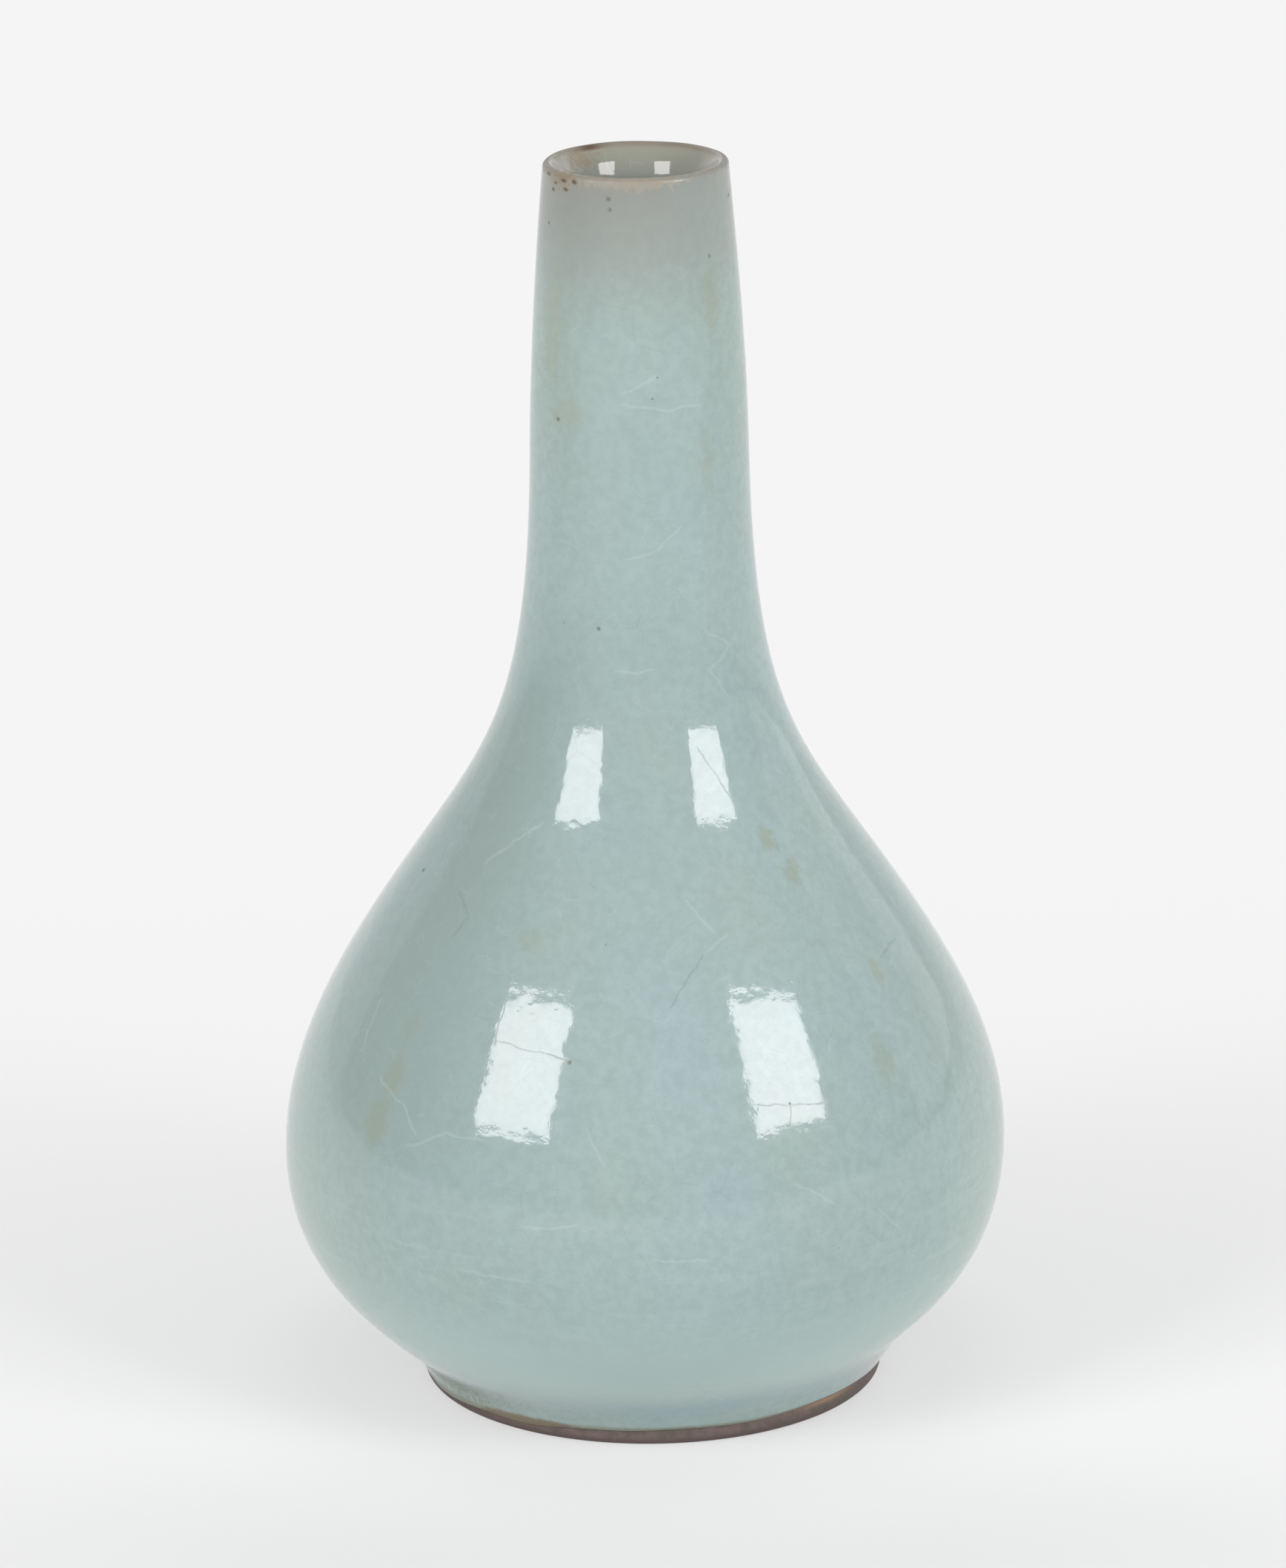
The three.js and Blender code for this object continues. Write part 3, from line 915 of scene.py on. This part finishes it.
def outside_material(shape, finish):
    """Celadon on the outside, with all the marks of its lip, its wall and its foot."""
    material, tree, shader, place = new_material("Celadon outside")
    skin = glaze_skin(tree, place, finish)
    streaks = upright_streaks(tree, place)
    tone = body_tone(tree, place, finish, skin)
    # Over the body tone: deeper green with painted shade, painted light from the floor low on the belly,
    # painted light at the lower side edges, and olive stains
    layers = {"green_and_painted_shade": finish.green_and_painted_shade, "painted_floor_light": finish.pale, "painted_side_light": finish.side_light_paint, "olive": finish.ochre}
    tone = cover(tree, tone, layers)
    level = vector(tree, "MULTIPLY", place, (0.07, 0.07, 1.0))
    rings = band(tree, noise(tree, level, 0.8), 0.52, 0.72)
    tone = tint(tree, tone, times(tree, attribute(tree, "rings"), rings), 0.14, finish.craze)
    tone, net = crack_layers(tree, place, finish, tone)
    tone, dark = hairline_layers(tree, place, shape, finish, tone)
    tone, beige = lip_layers(tree, place, shape, finish, tone, streaks)
    tone, edge = hem_layers(tree, place, finish, tone, streaks)
    tone, pits = stain_layers(tree, place, shape, finish, tone)
    specks = use_group(tree, "Specks", place, Cell=6.0, Radius=0.28, Rarity=0.82)["Mask"]
    tone = tint(tree, tone, specks, 0.35, finish.iron)
    tree.links.new(tone, shader.inputs["Base Color"])
    cracks = times(tree, strongest(tree, [dark, times(tree, net, 0.5)]), 0.5)
    dry = [beige, edge, attribute(tree, "crown"), attribute(tree, "fleck"), pits, cracks]
    gloss(tree, shader, place, 0.05, strongest(tree, dry))
    blisters = use_group(tree, "Specks", place, Cell=2.6, Radius=0.75, Rarity=0.72)["Mask"]
    height = minus(tree, skin["Height"], times(tree, strongest(tree, [pits, specks]), 0.3))
    height = plus(tree, height, times(tree, blisters, 0.16))
    height = plus(tree, height, times(tree, times(tree, beige, streaks), 1.5))
    bump(tree, shader, height, SKIN_DEPTH)
    return material


def inside_material(finish):
    """The thin coat inside: olive grey with upright streaks, bluer lower down, dry at the lip."""
    material, tree, shader, place = new_material("Celadon inside")
    skin = glaze_skin(tree, place, finish)
    streaks = upright_streaks(tree, place)
    tone = body_tone(tree, place, finish, skin)
    # The pale bevel layer is painted reflection on the flare
    tone = cover(tree, tone, {"neck": finish.depth, "mouth": finish.lining, "bevel": finish.bevel})
    tone, cracks = crack_layers(tree, place, finish, tone)
    beige = band(tree, plus(tree, attribute(tree, "thin"), streaks), 0.4, 0.9)
    tone = tint(tree, tone, beige, 0.5, finish.thin)
    tone = cover(tree, tone, {"crown": finish.crown})
    rough = noise(tree, place, 1.1, roughness=0.6)
    tone = tint(tree, tone, scorched(tree, rough, ragged=3.0), 0.6, finish.scald)
    tone = tint(tree, tone, attribute(tree, "char"), 0.9, finish.scorch)
    tree.links.new(tone, shader.inputs["Base Color"])
    dry = times(tree, strongest(tree, [beige, attribute(tree, "crown")]), 0.3)
    gloss(tree, shader, place, 0.03, dry)
    bump(tree, shader, minus(tree, skin["Height"], times(tree, cracks, 0.3)), SKIN_DEPTH)
    return material


def base_material(finish):
    """The coat in the recess under the base: plain celadon with crackle and specks."""
    material, tree, shader, place = new_material("Celadon base")
    skin = glaze_skin(tree, place, finish)
    tone = body_tone(tree, place, finish, skin)
    tone, cracks = crack_layers(tree, place, finish, tone)
    specks = use_group(tree, "Specks", place, Cell=5.0, Radius=0.35, Rarity=0.75)["Mask"]
    tone = tint(tree, tone, specks, 0.5, finish.iron)
    edge = band(tree, plus(tree, attribute(tree, "hem"), times(tree, skin["Grain"], 0.2)), 0.4, 0.9)
    tone = blend(tree, edge, tone, finish.rust)
    tree.links.new(tone, shader.inputs["Base Color"])
    gloss(tree, shader, place, 0.07, edge)
    bump(tree, shader, minus(tree, skin["Height"], strongest(tree, [cracks, specks])), SKIN_DEPTH)
    return material


def clay_material(name, light, dark, layers=None):
    """Unglazed clay: a dull wash, mottled light and dark, with pits and grit, under the colours of
    its zones if it has any."""
    material, tree, shader, place = new_material(name)
    patchy = band(tree, noise(tree, place, 0.45, detail=5.0, roughness=0.6), 0.3, 0.7)
    grit = use_group(tree, "Specks", place, Cell=0.7, Radius=0.2, Rarity=0.6)["Mask"]
    tone = blend(tree, patchy, dark, light)
    tone = blend(tree, times(tree, grit, 0.5), tone, GRITTY, "MULTIPLY")
    tree.links.new(cover(tree, tone, layers or {}), shader.inputs["Base Color"])
    tree.links.new(plus(tree, times(tree, patchy, 0.2), 0.5), shader.inputs["Roughness"])
    height = plus(tree, noise(tree, place, 2.2, detail=5.0, roughness=0.65), grit)
    bump(tree, shader, height, GRIT_DEPTH)
    return material


# Zones of the coats

# A zone is the sum of its parts. Each part has its heights in millimetres, its way round the vase
# and its strength. Two heights are the middle and the width of a hump. Four are where the part
# starts, where it is full, where it begins to fade and where it is gone. A way is a direction in
# degrees from the front and its width, or None for all round. ABOVE ends a part that goes on past
# the top of the vase.
ABOVE = (300, 301)
CHAR = [((-0.8, -0.45, *ABOVE), (-146, 9), 1)]
BODY_ZONES = {
    "neck": [((173, 200, *ABOVE), None, 0.95), ((173, 200, *ABOVE), (50, 26), -0.3)],
    "green_and_painted_shade": [
        ((36, 60, 105, 150), (-52, 26), 0.75),
        ((55, 68, 80, 100), (64, 14), 0.4),
        ((140, 170, *ABOVE), (-48, 16), 0.15),
        # Painted shade: the front of the shoulder and neck darkened where the front lamps light most
        ((60, 100, 160, 178), (0, 22), 0.2),
    ],
    "olive": [
        ((130, 170, *ABOVE), None, 0.05),
        ((130, 170, *ABOVE), (-45, 22), 0.11),
        ((130, 170, *ABOVE), (52, 18), 0.06),
    ],
    # Painted light from the floor: paler low on the belly
    "painted_floor_light": [((6, 14, 14, 34), None, 1)],
    # Painted light at the lower side edges, left and right
    "painted_side_light": [((28, 18), (-74, 15), 0.7), ((28, 18), (74, 15), 0.7)],
    "pool": [((7.8, 1.8), None, 0.35), ((7.8, 1.8), (6, 26), 0.65)],
    "froth": [((6.5, 2.6), (-60, 13), 0.2), ((6.5, 2.6), (72, 12), 0.7)],
    "fleck": [((5.2, 2.6), (-52, 17), 1)],
    "rings": [((14, 24, 40, 54), None, 1)],
}
# Heights from the crown of the lip
LIP_ZONES = {
    "thin": [((-4, -0.6, *ABOVE), None, 0.5), ((-4, -0.6, *ABOVE), (-5, 42), 0.5)],
    "crown": [((-0.9, -0.2, *ABOVE), None, 0.35), ((-0.9, -0.2, *ABOVE), (180, 100), 0.65)],
    "scorch": [((-3.4, -1.4, *ABOVE), (-52, 12), 1)],
    "char": CHAR,
}
# Heights from the glaze line
HEM_ZONES = {
    "hem": [((-1, 0, 0, 1.6), None, 1)],
    "rust": [((-1, 0, 0, 1.7), (-33, 15), 1.3), ((-1, 0, 0, 1.7), (48, 12), 0.8)],
}
LINING_ZONES = {"neck": [((120, 190, *ABOVE), None, 1)]}
# Heights from the crown of the lip
MOUTH_ZONES = {
    "mouth": [((-8.5, -2.5, *ABOVE), None, 1)],
    # Painted reflection on the flare at left and right
    "bevel": [((-4.6, -2.6, *ABOVE), (-84, 28), 0.9), ((-4.6, -2.6, *ABOVE), (84, 26), 1)],
    "thin": [((-3.4, -0.8, *ABOVE), None, 0.7)],
    "crown": [((-0.8, -0.2, *ABOVE), None, 0.3), ((-0.8, -0.2, *ABOVE), (180, 60), 0.6)],
    "scorch": [((-1.9, 1.8), (-134, 16), 1)],
    "char": CHAR,
}
WASH_ZONES = {
    # Partly painted contact shadow: the wash darker up to about 1.6 mm over the stand
    "stand": [((-2, -1, 0.5, 1.6), None, 0.8)],
    "sides": [((-2, -1, *ABOVE), (-62, 22), 0.85), ((-2, -1, *ABOVE), (66, 12), 0.45)],
    "tan": [((1.9, 2.6, *ABOVE), (49, 9), 0.8)],
}


def zone_part(turned, height, heights, way, strength):
    """One part of a zone: its strength, times its rise and fall over height, times its hump round."""
    if len(heights) == 2:
        share = hump(height, *heights)
    else:
        start, full, fades, gone = heights
        share = smooth_step(start, full, height) * (1 - smooth_step(fades, gone, height))
    return strength * share * (facing(turned, *way) if way else 1)


def zone_masks(zones, turned, height):
    """The mask of each zone, at degrees from the front and a height in metres."""
    up = height / MM
    return {name: sum(zone_part(turned, up, *part) for part in parts) for name, parts in zones.items()}


# Pieces


def glaze_edge(turned):
    """How far the lower edge of the glaze rises above its line, round the foot: the sum of its
    humps, high at front right and low at front left, and of two sines."""
    rise = sum(height * facing(turned, middle, width) for middle, width, height in EDGE_RISES)
    return rise + waver(np.radians(turned), EDGE_SINES)


def lip_centre(shape):
    """The middle of the lip's round section, as radius and height."""
    line, ways = outline(shape, steps=1)
    return sink(line[-1:], ways[-1:], shape.lip_round)[0]


def lip_top(shape):
    """The height of the lip's crown."""
    return lip_centre(shape)[1] + shape.lip_round


class VASE_OT_outer_glaze(bpy.types.Operator):
    """The thick coat outside, from its roll over the foot to the crown of the lip."""

    bl_idname = "vase.outer_glaze"
    bl_label = "Outer glaze"

    def execute(self, context):
        shape = settings(SHAPE)
        centre = lip_centre(shape)
        outer = turn(self.face(shape, centre), OUTSIDE_AROUND)
        inner = turn(self.back(shape, centre), OUTSIDE_AROUND)
        turned = from_front(outer[..., 0], outer[..., 1])
        height = outer[..., 2]
        masks = {
            **zone_masks(BODY_ZONES, turned, height),
            **zone_masks(LIP_ZONES, turned, height - lip_top(shape)),
            **zone_masks(HEM_ZONES, turned, height - shape.glaze_line),
        }
        edge = 1 - smooth_step(shape.glaze_line, shape.crease_height, height)
        outer[..., 2] += edge * glaze_edge(turned)
        grid = np.concatenate([thrown(outer, shape), inner])
        bare = np.zeros(inner.shape[:2])
        masks = {name: np.concatenate([mask, bare]) for name, mask in masks.items()}
        piece = mesh_piece("glaze_outside", grid, closed=True, masks=masks)
        seat(piece, "outer_glaze", outside_material(shape, settings(GLAZE)))
        return {"FINISHED"}

    @staticmethod
    def face(shape, centre):
        """The coat's face, as a profile from the roll's lower edge to the crown of the lip."""
        line, ways = outline(shape, steps=34)
        crease = line[0]
        start_pull, end_pull = (crease - ways[0] * pull for pull in ROLL_PULLS)
        roll, _ = bezier((shape.foot_radius, shape.glaze_line), start_pull, end_pull, crease, steps=10)
        lip = arc(centre, shape.lip_round, -MOUTH_LEAN, 90 - MOUTH_LEAN, steps=10)
        return np.vstack([roll[:-1], line, lip[1:]])

    @staticmethod
    def back(shape, centre):
        """The coat's back against the clay, as a profile from the crown of the lip to the foot."""
        line, ways = outline(shape, steps=9)
        stations = [shape.shoulder_height, shape.neck_height, shape.mouth_height]
        coat = np.interp(line[:, 1], stations, [BODY_COAT, NECK_COAT, LIP_COAT])
        lip = arc(centre, shape.lip_round - LIP_COAT, 90 - MOUTH_LEAN, -MOUTH_LEAN, steps=6)
        foot_clay = [[shape.foot_radius - LIP_COAT, shape.crease_height]]
        return np.vstack([lip[:-1], sink(line, ways, coat)[::-1], foot_clay])


class VASE_OT_inner_glaze(bpy.types.Operator):
    """The coat inside, from the crown of the lip down to the floor."""

    bl_idname = "vase.inner_glaze"
    bl_label = "Inner glaze"

    def execute(self, context):
        shape = settings(SHAPE)
        floor = lining_low.z
        grid = turn(self.profile(shape, floor), INSIDE_AROUND)
        height = grid[..., 2]
        turned = from_front(grid[..., 0], grid[..., 1])
        masks = zone_masks(LINING_ZONES, turned, height)
        masks.update(zone_masks(MOUTH_ZONES, turned, height - lip_top(shape)))
        upper = smooth_step(*INSIDE_SPAN, height)[..., None]
        grid = grid * (1 - upper) + thrown(grid, shape) * upper
        poles = {"low_pole": [[0, 0, floor]], "high_pole": [[0, 0, floor + LINING_COAT]]}
        piece = mesh_piece("glaze_inside", grid, masks=masks, **poles)
        seat(piece, "inner_glaze", inside_material(settings(GLAZE)))
        return {"FINISHED"}

    def profile(self, shape, floor):
        """The coat's back from the floor up to the lip, and its face down again."""
        stations = [shape.belly_height, shape.shoulder_height, shape.neck_height]
        line, ways = outline(shape, steps=20)
        wall = (line[:, 1] > shape.belly_height - SLACK) & (line[:, 1] < shape.neck_height + SLACK)
        depth = np.interp(line[wall, 1], stations, WALLS)
        inside = sink(line[wall], ways[wall], depth)
        clay = sink(line[wall], ways[wall], depth - LINING_COAT)
        centre = lip_centre(shape)
        lip = arc(centre, shape.lip_round, 90 - MOUTH_LEAN, 180 - FLARE_LEAN, steps=10)
        lip_clay = arc(centre, shape.lip_round - LIP_COAT, 180 - FLARE_LEAN, 90 - MOUTH_LEAN, steps=6)
        mouth_clay, mouth_inside = self.mouth(shape, clay[-1], lip_clay[0])
        bowl = self.bowl(floor, clay[0], pooled=0.0)
        bowl_inside = self.bowl(floor + LINING_COAT, inside[0], POOLED)
        back = np.vstack([bowl, clay[1:], mouth_clay[1:], lip_clay[1:]])
        face = np.vstack([bowl_inside, inside[1:], mouth_inside[1:]])
        return np.vstack([back, lip, face[::-1][1:]])

    @staticmethod
    def mouth(shape, foot, top):
        """The clay and the coat inside the neck: the bore up to the throat, and the flare that
        opens from there to the lip."""
        throat = np.array([shape.throat_radius + LINING_COAT, lip_top(shape) - shape.throat_depth])
        foot_pull = foot + heading(NECK_LEAN) * NECK_PULLS[1]
        bore, bore_ways = bezier(foot, foot_pull, throat - heading(0) * BORE_PULL, throat, steps=14)
        pulls = (throat + heading(0) * THROAT_PULL, top - heading(FLARE_LEAN) * FLARE_PULL)
        flare, flare_ways = bezier(throat, *pulls, top, steps=16)
        clay = np.vstack([bore, flare[1:]])
        ways = np.vstack([bore_ways, flare_ways[1:]])
        coat = np.interp(clay[:, 1], [throat[1], top[1]], [LINING_COAT, LIP_COAT])
        return clay, sink(clay, ways, coat)

    @staticmethod
    def bowl(floor, top, pooled):
        """The curve from the level floor up to the wall at the belly, flatter where glaze pooled."""
        start = np.array([FLOOR_RADIUS, floor])
        floor_pull = start + (FLOOR_PULL - pooled, 0)
        points, _ = bezier(start, floor_pull, top - (0, BOWL_PULL - pooled), top, steps=16)
        return points


class VASE_OT_foot(bpy.types.Operator):
    """The foot ring, its iron wash, and the glazed recess under the base."""

    bl_idname = "vase.foot"
    bl_label = "Foot"

    def execute(self, context):
        shape = settings(SHAPE)
        colours = settings(FOOT)
        self.outer_centre = (shape.foot_radius - OUTER_ROUND, OUTER_ROUND)
        self.clay_radius = shape.foot_radius - LIP_COAT
        self.clay_arc = arc(self.outer_centre, OUTER_ROUND - LIP_COAT, -90, 0, steps=6)
        self.inner_top = shape.foot_radius - FOOT_WALL - FOOT_TAPER
        self.ring(shape, colours)
        self.wash(shape, colours)
        self.base(shape)
        return {"FINISHED"}

    def ring(self, shape, colours):
        """The clay ring: a flat contact face, round edges, and an inner wall that leans in."""
        top = shape.crease_height
        inner_centre = (shape.foot_radius - FOOT_WALL + INNER_ROUND, INNER_ROUND)
        profile = np.vstack([
            [[self.outer_centre[0], 0]],
            self.clay_arc,
            [[self.clay_radius, top], [self.inner_top, top]],
            arc(inner_centre, INNER_ROUND, 180, 270, steps=6),
        ])
        piece = mesh_piece("foot_ring_clay", thrown(turn(profile, FOOT_AROUND), shape), closed=True)
        seat(piece, "foot_ring", clay_material("Fired clay", colours.clay, colours.wash))

    def wash(self, shape, colours):
        """The dressing on the wall of the foot, from the contact face up under the glaze."""
        top = shape.crease_height - WASH_GAP
        heights = np.linspace(OUTER_ROUND, top, 9)
        wall = np.stack([np.full_like(heights, shape.foot_radius), heights], axis=1)
        outside = arc(self.outer_centre, OUTER_ROUND, -90, 0, steps=8)
        profile = np.vstack([outside, wall[1:], [[self.clay_radius, top]], self.clay_arc[::-1]])
        grid = turn(profile, FOOT_AROUND)
        zones = zone_masks(WASH_ZONES, from_front(grid[..., 0], grid[..., 1]), grid[..., 2])
        masks = {"low": np.maximum(zones["stand"], zones["sides"]), "tan": zones["tan"]}
        piece = mesh_piece("foot_wash_band", thrown(grid, shape), closed=True, masks=masks)
        layers = {"low": colours.low_wash_and_shade, "tan": colours.tan}
        material = clay_material("Iron wash", colours.wash, colours.wash_dark, layers)
        seat(piece, "foot_wash", material)

    def base(self, shape):
        """The coat in the recess: level, then a fillet down the inner wall to a thin hem."""
        top = shape.crease_height
        ceiling = top - BASE_COAT
        start = self.inner_top - BASE_FILLET
        hem_radius = self.inner_top + FOOT_TAPER * (top - BASE_HEM) / (top - INNER_ROUND)
        fillet, _ = bezier(
            (start, ceiling),
            (self.inner_top - BASE_PULL, ceiling),
            (self.inner_top, ceiling),
            (hem_radius, BASE_HEM),
            steps=8,
        )
        radii = np.linspace(BASE_MIDDLE, start, 12)
        flat = np.stack([radii, np.full_like(radii, ceiling)], axis=1)
        back = [[self.inner_top, top], [BASE_MIDDLE, top]]
        grid = turn(np.vstack([flat[:-1], fillet, back]), FOOT_AROUND)
        masks = {"hem": 1 - smooth_step(BASE_HEM, BASE_HEM + HEM_FADE, grid[..., 2])}
        poles = {"low_pole": [[0, 0, ceiling]], "high_pole": [[0, 0, top]]}
        piece = mesh_piece("glaze_base", grid, masks=masks, **poles)
        seat(piece, "base_glaze", base_material(settings(GLAZE)))


class VASE_OT_clay(bpy.types.Operator):
    """The thrown clay sections under the glaze."""

    bl_idname = "vase.clay"
    bl_label = "Clay sections"

    def execute(self, context):
        colours = settings(FOOT)
        stoneware = clay_material("Stoneware", colours.stoneware, colours.clay)
        for name in ("lower_body", "upper_body", "neck"):
            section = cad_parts[name]
            section.data.materials.clear()
            section.data.materials.append(stoneware)
        return {"FINISHED"}


# Stage

# The sweep: half its width, its front edge, where it bends, the radius of the bend, and its top
SWEEP_SIDE, SWEEP_FRONT, SWEEP_BACK, SWEEP_BEND, SWEEP_TOP = 5.0, -4.0, 2.2, 1.2, 5.0
# DARK_IN_FRONT and DARK_ASIDE place a painted shadow on the paper in front of the vase
# Where the paper changes, in millimetres from the vase's axis: from none of it to all of it
NEAR_BEHIND, DARK_IN_FRONT, DARK_ASIDE = (260.0, 10.0), (-22.0, -85.0), (125.0, 40.0)
FAR_ASIDE, FAR_UP = (500.0, 2600.0), (300.0, 2200.0)
# How much of the even backdrop is lost near the vase and far out, and of the painted shadow in front at
# the sides
NEAR_SHARE, FAR_SHARE, ASIDE_SHARE = 0.47, 0.4, 0.5
# The softboxes face the vase from this many degrees to the side, tilted down, and stand this high
SOFTBOX_TURN, SOFTBOX_TILT, SOFTBOX_UP = 28.5, 25.0, 0.658
SOFTBOX_LIGHT = (1.0, 0.95, 0.985)
# Each softbox, with its side and how far along it stands from the line to the vase
SOFTBOXES = (("softbox_left", -1, 0.36), ("softbox_right", 1, 0.438))
TOP_SPOT, TOP_SIZE = Vector((0, 0.1, 1.6)), 1.0
PANEL_SPOT, PANEL_SIZE = Vector((1.5, 0.8, 0.75)), 1.3
LAMP_AIM = Vector((0, 0.1, 0))


def add_lamp(name, power, width, height, spot, way, light=(1.0, 1.0, 1.0)):
    """A rectangular lamp at a spot, whose back points a way."""
    lamp = bpy.data.lights.new(name, "AREA")
    lamp.shape = "RECTANGLE"
    lamp.size = width
    lamp.size_y = height
    lamp.energy = power
    lamp.color = light
    holder = add_object(name, lamp)
    holder.location = spot
    holder.rotation_euler = way.to_track_quat("Z", "Y").to_euler()


class VASE_OT_stage(bpy.types.Operator):
    """The pale sweep that the vase stands on, the light and the camera."""

    bl_idname = "vase.stage"
    bl_label = "Stage"

    def execute(self, context):
        studio = settings(STUDIO)
        self.sweep(studio)
        self.lights(studio)
        self.camera(studio)
        context.scene.view_settings.view_transform = "Standard"
        return {"FINISHED"}

    def sweep(self, studio):
        """A floor that bends up into a wall: straight, a quarter circle, and straight again."""
        angles = np.radians(np.linspace(-90, 0, 25))
        bend_y = SWEEP_BACK + SWEEP_BEND * np.cos(angles)
        bend_z = SWEEP_BEND + SWEEP_BEND * np.sin(angles)
        y = np.concatenate([[SWEEP_FRONT], bend_y, [SWEEP_BACK + SWEEP_BEND]])
        z = np.concatenate([[0.0], bend_z, [SWEEP_TOP]])
        x = np.array([-SWEEP_SIDE, SWEEP_SIDE])
        grid = np.stack(np.broadcast_arrays(x[None, :], y[:, None], z[:, None]), axis=2)
        i = np.arange(len(y) - 1)
        faces = np.stack([2 * i, 2 * i + 1, 2 * i + 3, 2 * i + 2], axis=1)
        mesh = bpy.data.meshes.new("sweep")
        mesh.from_pydata(grid.reshape(-1, 3), [], faces.tolist())
        mesh.shade_smooth()
        mesh.materials.append(self.paper(studio))
        sweep = add_object("sweep", mesh)

    @staticmethod
    def paper(studio):
        """White paper that takes the vase's shadow near it, and is seen as an even backdrop
        behind, which fades far out to the sides. What only the camera and reflections see adds
        no light to the vase."""
        material, tree, shader, place = new_material("Paper")
        shader.inputs["Roughness"].default_value = 0.9
        shader.inputs["Specular IOR Level"].default_value = 0.0
        path = node(tree, "ShaderNodeLightPath").outputs
        seen = strongest(tree, [path["Is Camera Ray"], path["Is Glossy Ray"], path["Is Transmission Ray"]])
        spot = node(tree, "ShaderNodeSeparateXYZ", {0: place}).outputs
        aside = calculate(tree, "ABSOLUTE", spot["X"])
        # Painted shadow in front of the vase, seen only by the camera: darkest in the middle, half as dark
        # farther to the sides
        middle = plus(tree, times(tree, band(tree, aside, *DARK_ASIDE), ASIDE_SHARE), 1 - ASIDE_SHARE)
        front = times(tree, middle, band(tree, spot["Y"], *DARK_IN_FRONT))
        front = times(tree, front, path["Is Camera Ray"])
        tone = blend(tree, front, studio.paper, studio.painted_front_shadow)
        tree.links.new(tone, shader.inputs["Base Color"])
        near = times(tree, band(tree, spot["Y"], *NEAR_BEHIND), NEAR_SHARE)
        far = strongest(tree, [band(tree, aside, *FAR_ASIDE), band(tree, spot["Z"], *FAR_UP)])
        even = minus(tree, 1.0, strongest(tree, [near, times(tree, far, FAR_SHARE)]))
        glow = node(tree, "ShaderNodeEmission", {"Color": studio.backdrop}).outputs[0]
        share = times(tree, seen, even)
        mixed = node(tree, "ShaderNodeMixShader", {0: share, 1: shader.outputs[0], 2: glow})
        tree.links.new(mixed.outputs[0], tree.nodes["Material Output"].inputs["Surface"])
        return material

    @staticmethod
    def lights(studio):
        """Two softboxes in front, a light overhead, a pale panel at right, and an even surround."""
        turned, tilt = math.radians(SOFTBOX_TURN), math.radians(SOFTBOX_TILT)
        softbox = (studio.softbox_power, studio.softbox_width, studio.softbox_height)
        for name, side, aside in SOFTBOXES:
            out = Vector((math.sin(turned) * side, -math.cos(turned), 0))
            along = Vector((math.cos(turned) * side, math.sin(turned), 0))
            spot = out + along * aside + Vector((0, 0, SOFTBOX_UP))
            way = out * math.cos(tilt) + Vector((0, 0, math.sin(tilt)))
            add_lamp(name, *softbox, spot, way, SOFTBOX_LIGHT)
        add_lamp("top", studio.top_power, TOP_SIZE, TOP_SIZE, TOP_SPOT, TOP_SPOT - LAMP_AIM)
        add_lamp("panel", studio.panel_power, PANEL_SIZE, PANEL_SIZE, PANEL_SPOT, PANEL_SPOT - LAMP_AIM)
        world = bpy.data.worlds.new("Surround")
        world.use_nodes = True
        background = world.node_tree.nodes["Background"]
        background.inputs["Color"].default_value = (1.0, 1.0, 1.0, 1.0)
        background.inputs["Strength"].default_value = studio.surround
        bpy.context.scene.world = world

    @staticmethod
    def camera(studio):
        """A long lens in front of the vase, looking down a little, with a slight roll."""
        lens = bpy.data.cameras.new("camera")
        lens.lens = studio.camera_lens
        lens.sensor_width = 36.0
        lens.clip_start, lens.clip_end = 0.05, 50.0
        holder = add_object("camera", lens)
        tilt = Matrix.Rotation(math.pi / 2 - studio.camera_pitch, 4, "X")
        roll = Matrix.Rotation(-studio.camera_roll, 4, "Z")
        place = Matrix.Translation((0, -studio.camera_back, studio.camera_up))
        holder.matrix_world = place @ tilt @ roll
        bpy.context.scene.camera = holder


OPERATORS = (VASE_OT_outer_glaze, VASE_OT_inner_glaze, VASE_OT_foot, VASE_OT_clay, VASE_OT_stage)
PROPERTY_GROUPS = {SHAPE: VaseShape, GLAZE: GlazeFinish, FOOT: FootFinish, STUDIO: StudioSetup}


class VASE_PT_panel(bpy.types.Panel):
    """The vase's settings and pieces."""

    bl_idname = "VASE_PT_panel"
    bl_label = "Celadon vase"
    bl_space_type = "VIEW_3D"
    bl_region_type = "UI"
    bl_category = "Vase"

    def draw(self, context):
        for operator in OPERATORS:
            self.layout.operator(operator.bl_idname)
        for name, group in PROPERTY_GROUPS.items():
            box = self.layout.box()
            for key in group.__annotations__:
                box.prop(getattr(context.scene, name), key)


CLASSES = (*PROPERTY_GROUPS.values(), *OPERATORS, VASE_PT_panel)


def register():
    for cls in CLASSES:
        bpy.utils.register_class(cls)
    for name, group in PROPERTY_GROUPS.items():
        setattr(bpy.types.Scene, name, bpy.props.PointerProperty(type=group))


def unregister():
    for name in PROPERTY_GROUPS:
        delattr(bpy.types.Scene, name)
    for cls in reversed(CLASSES):
        bpy.utils.unregister_class(cls)


def make_node_groups():
    """The node groups that the materials share."""
    make_wander_group()
    make_crackle_group()
    make_hairline_group()
    make_speck_group()
    make_skin_group()
    make_stain_group()


def main():
    """Registers the add-on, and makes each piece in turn."""
    register()
    make_node_groups()
    bpy.ops.vase.outer_glaze()
    bpy.ops.vase.inner_glaze()
    bpy.ops.vase.foot()
    bpy.ops.vase.clay()
    bpy.ops.vase.stage()


if __name__ == "__main__":
    main()
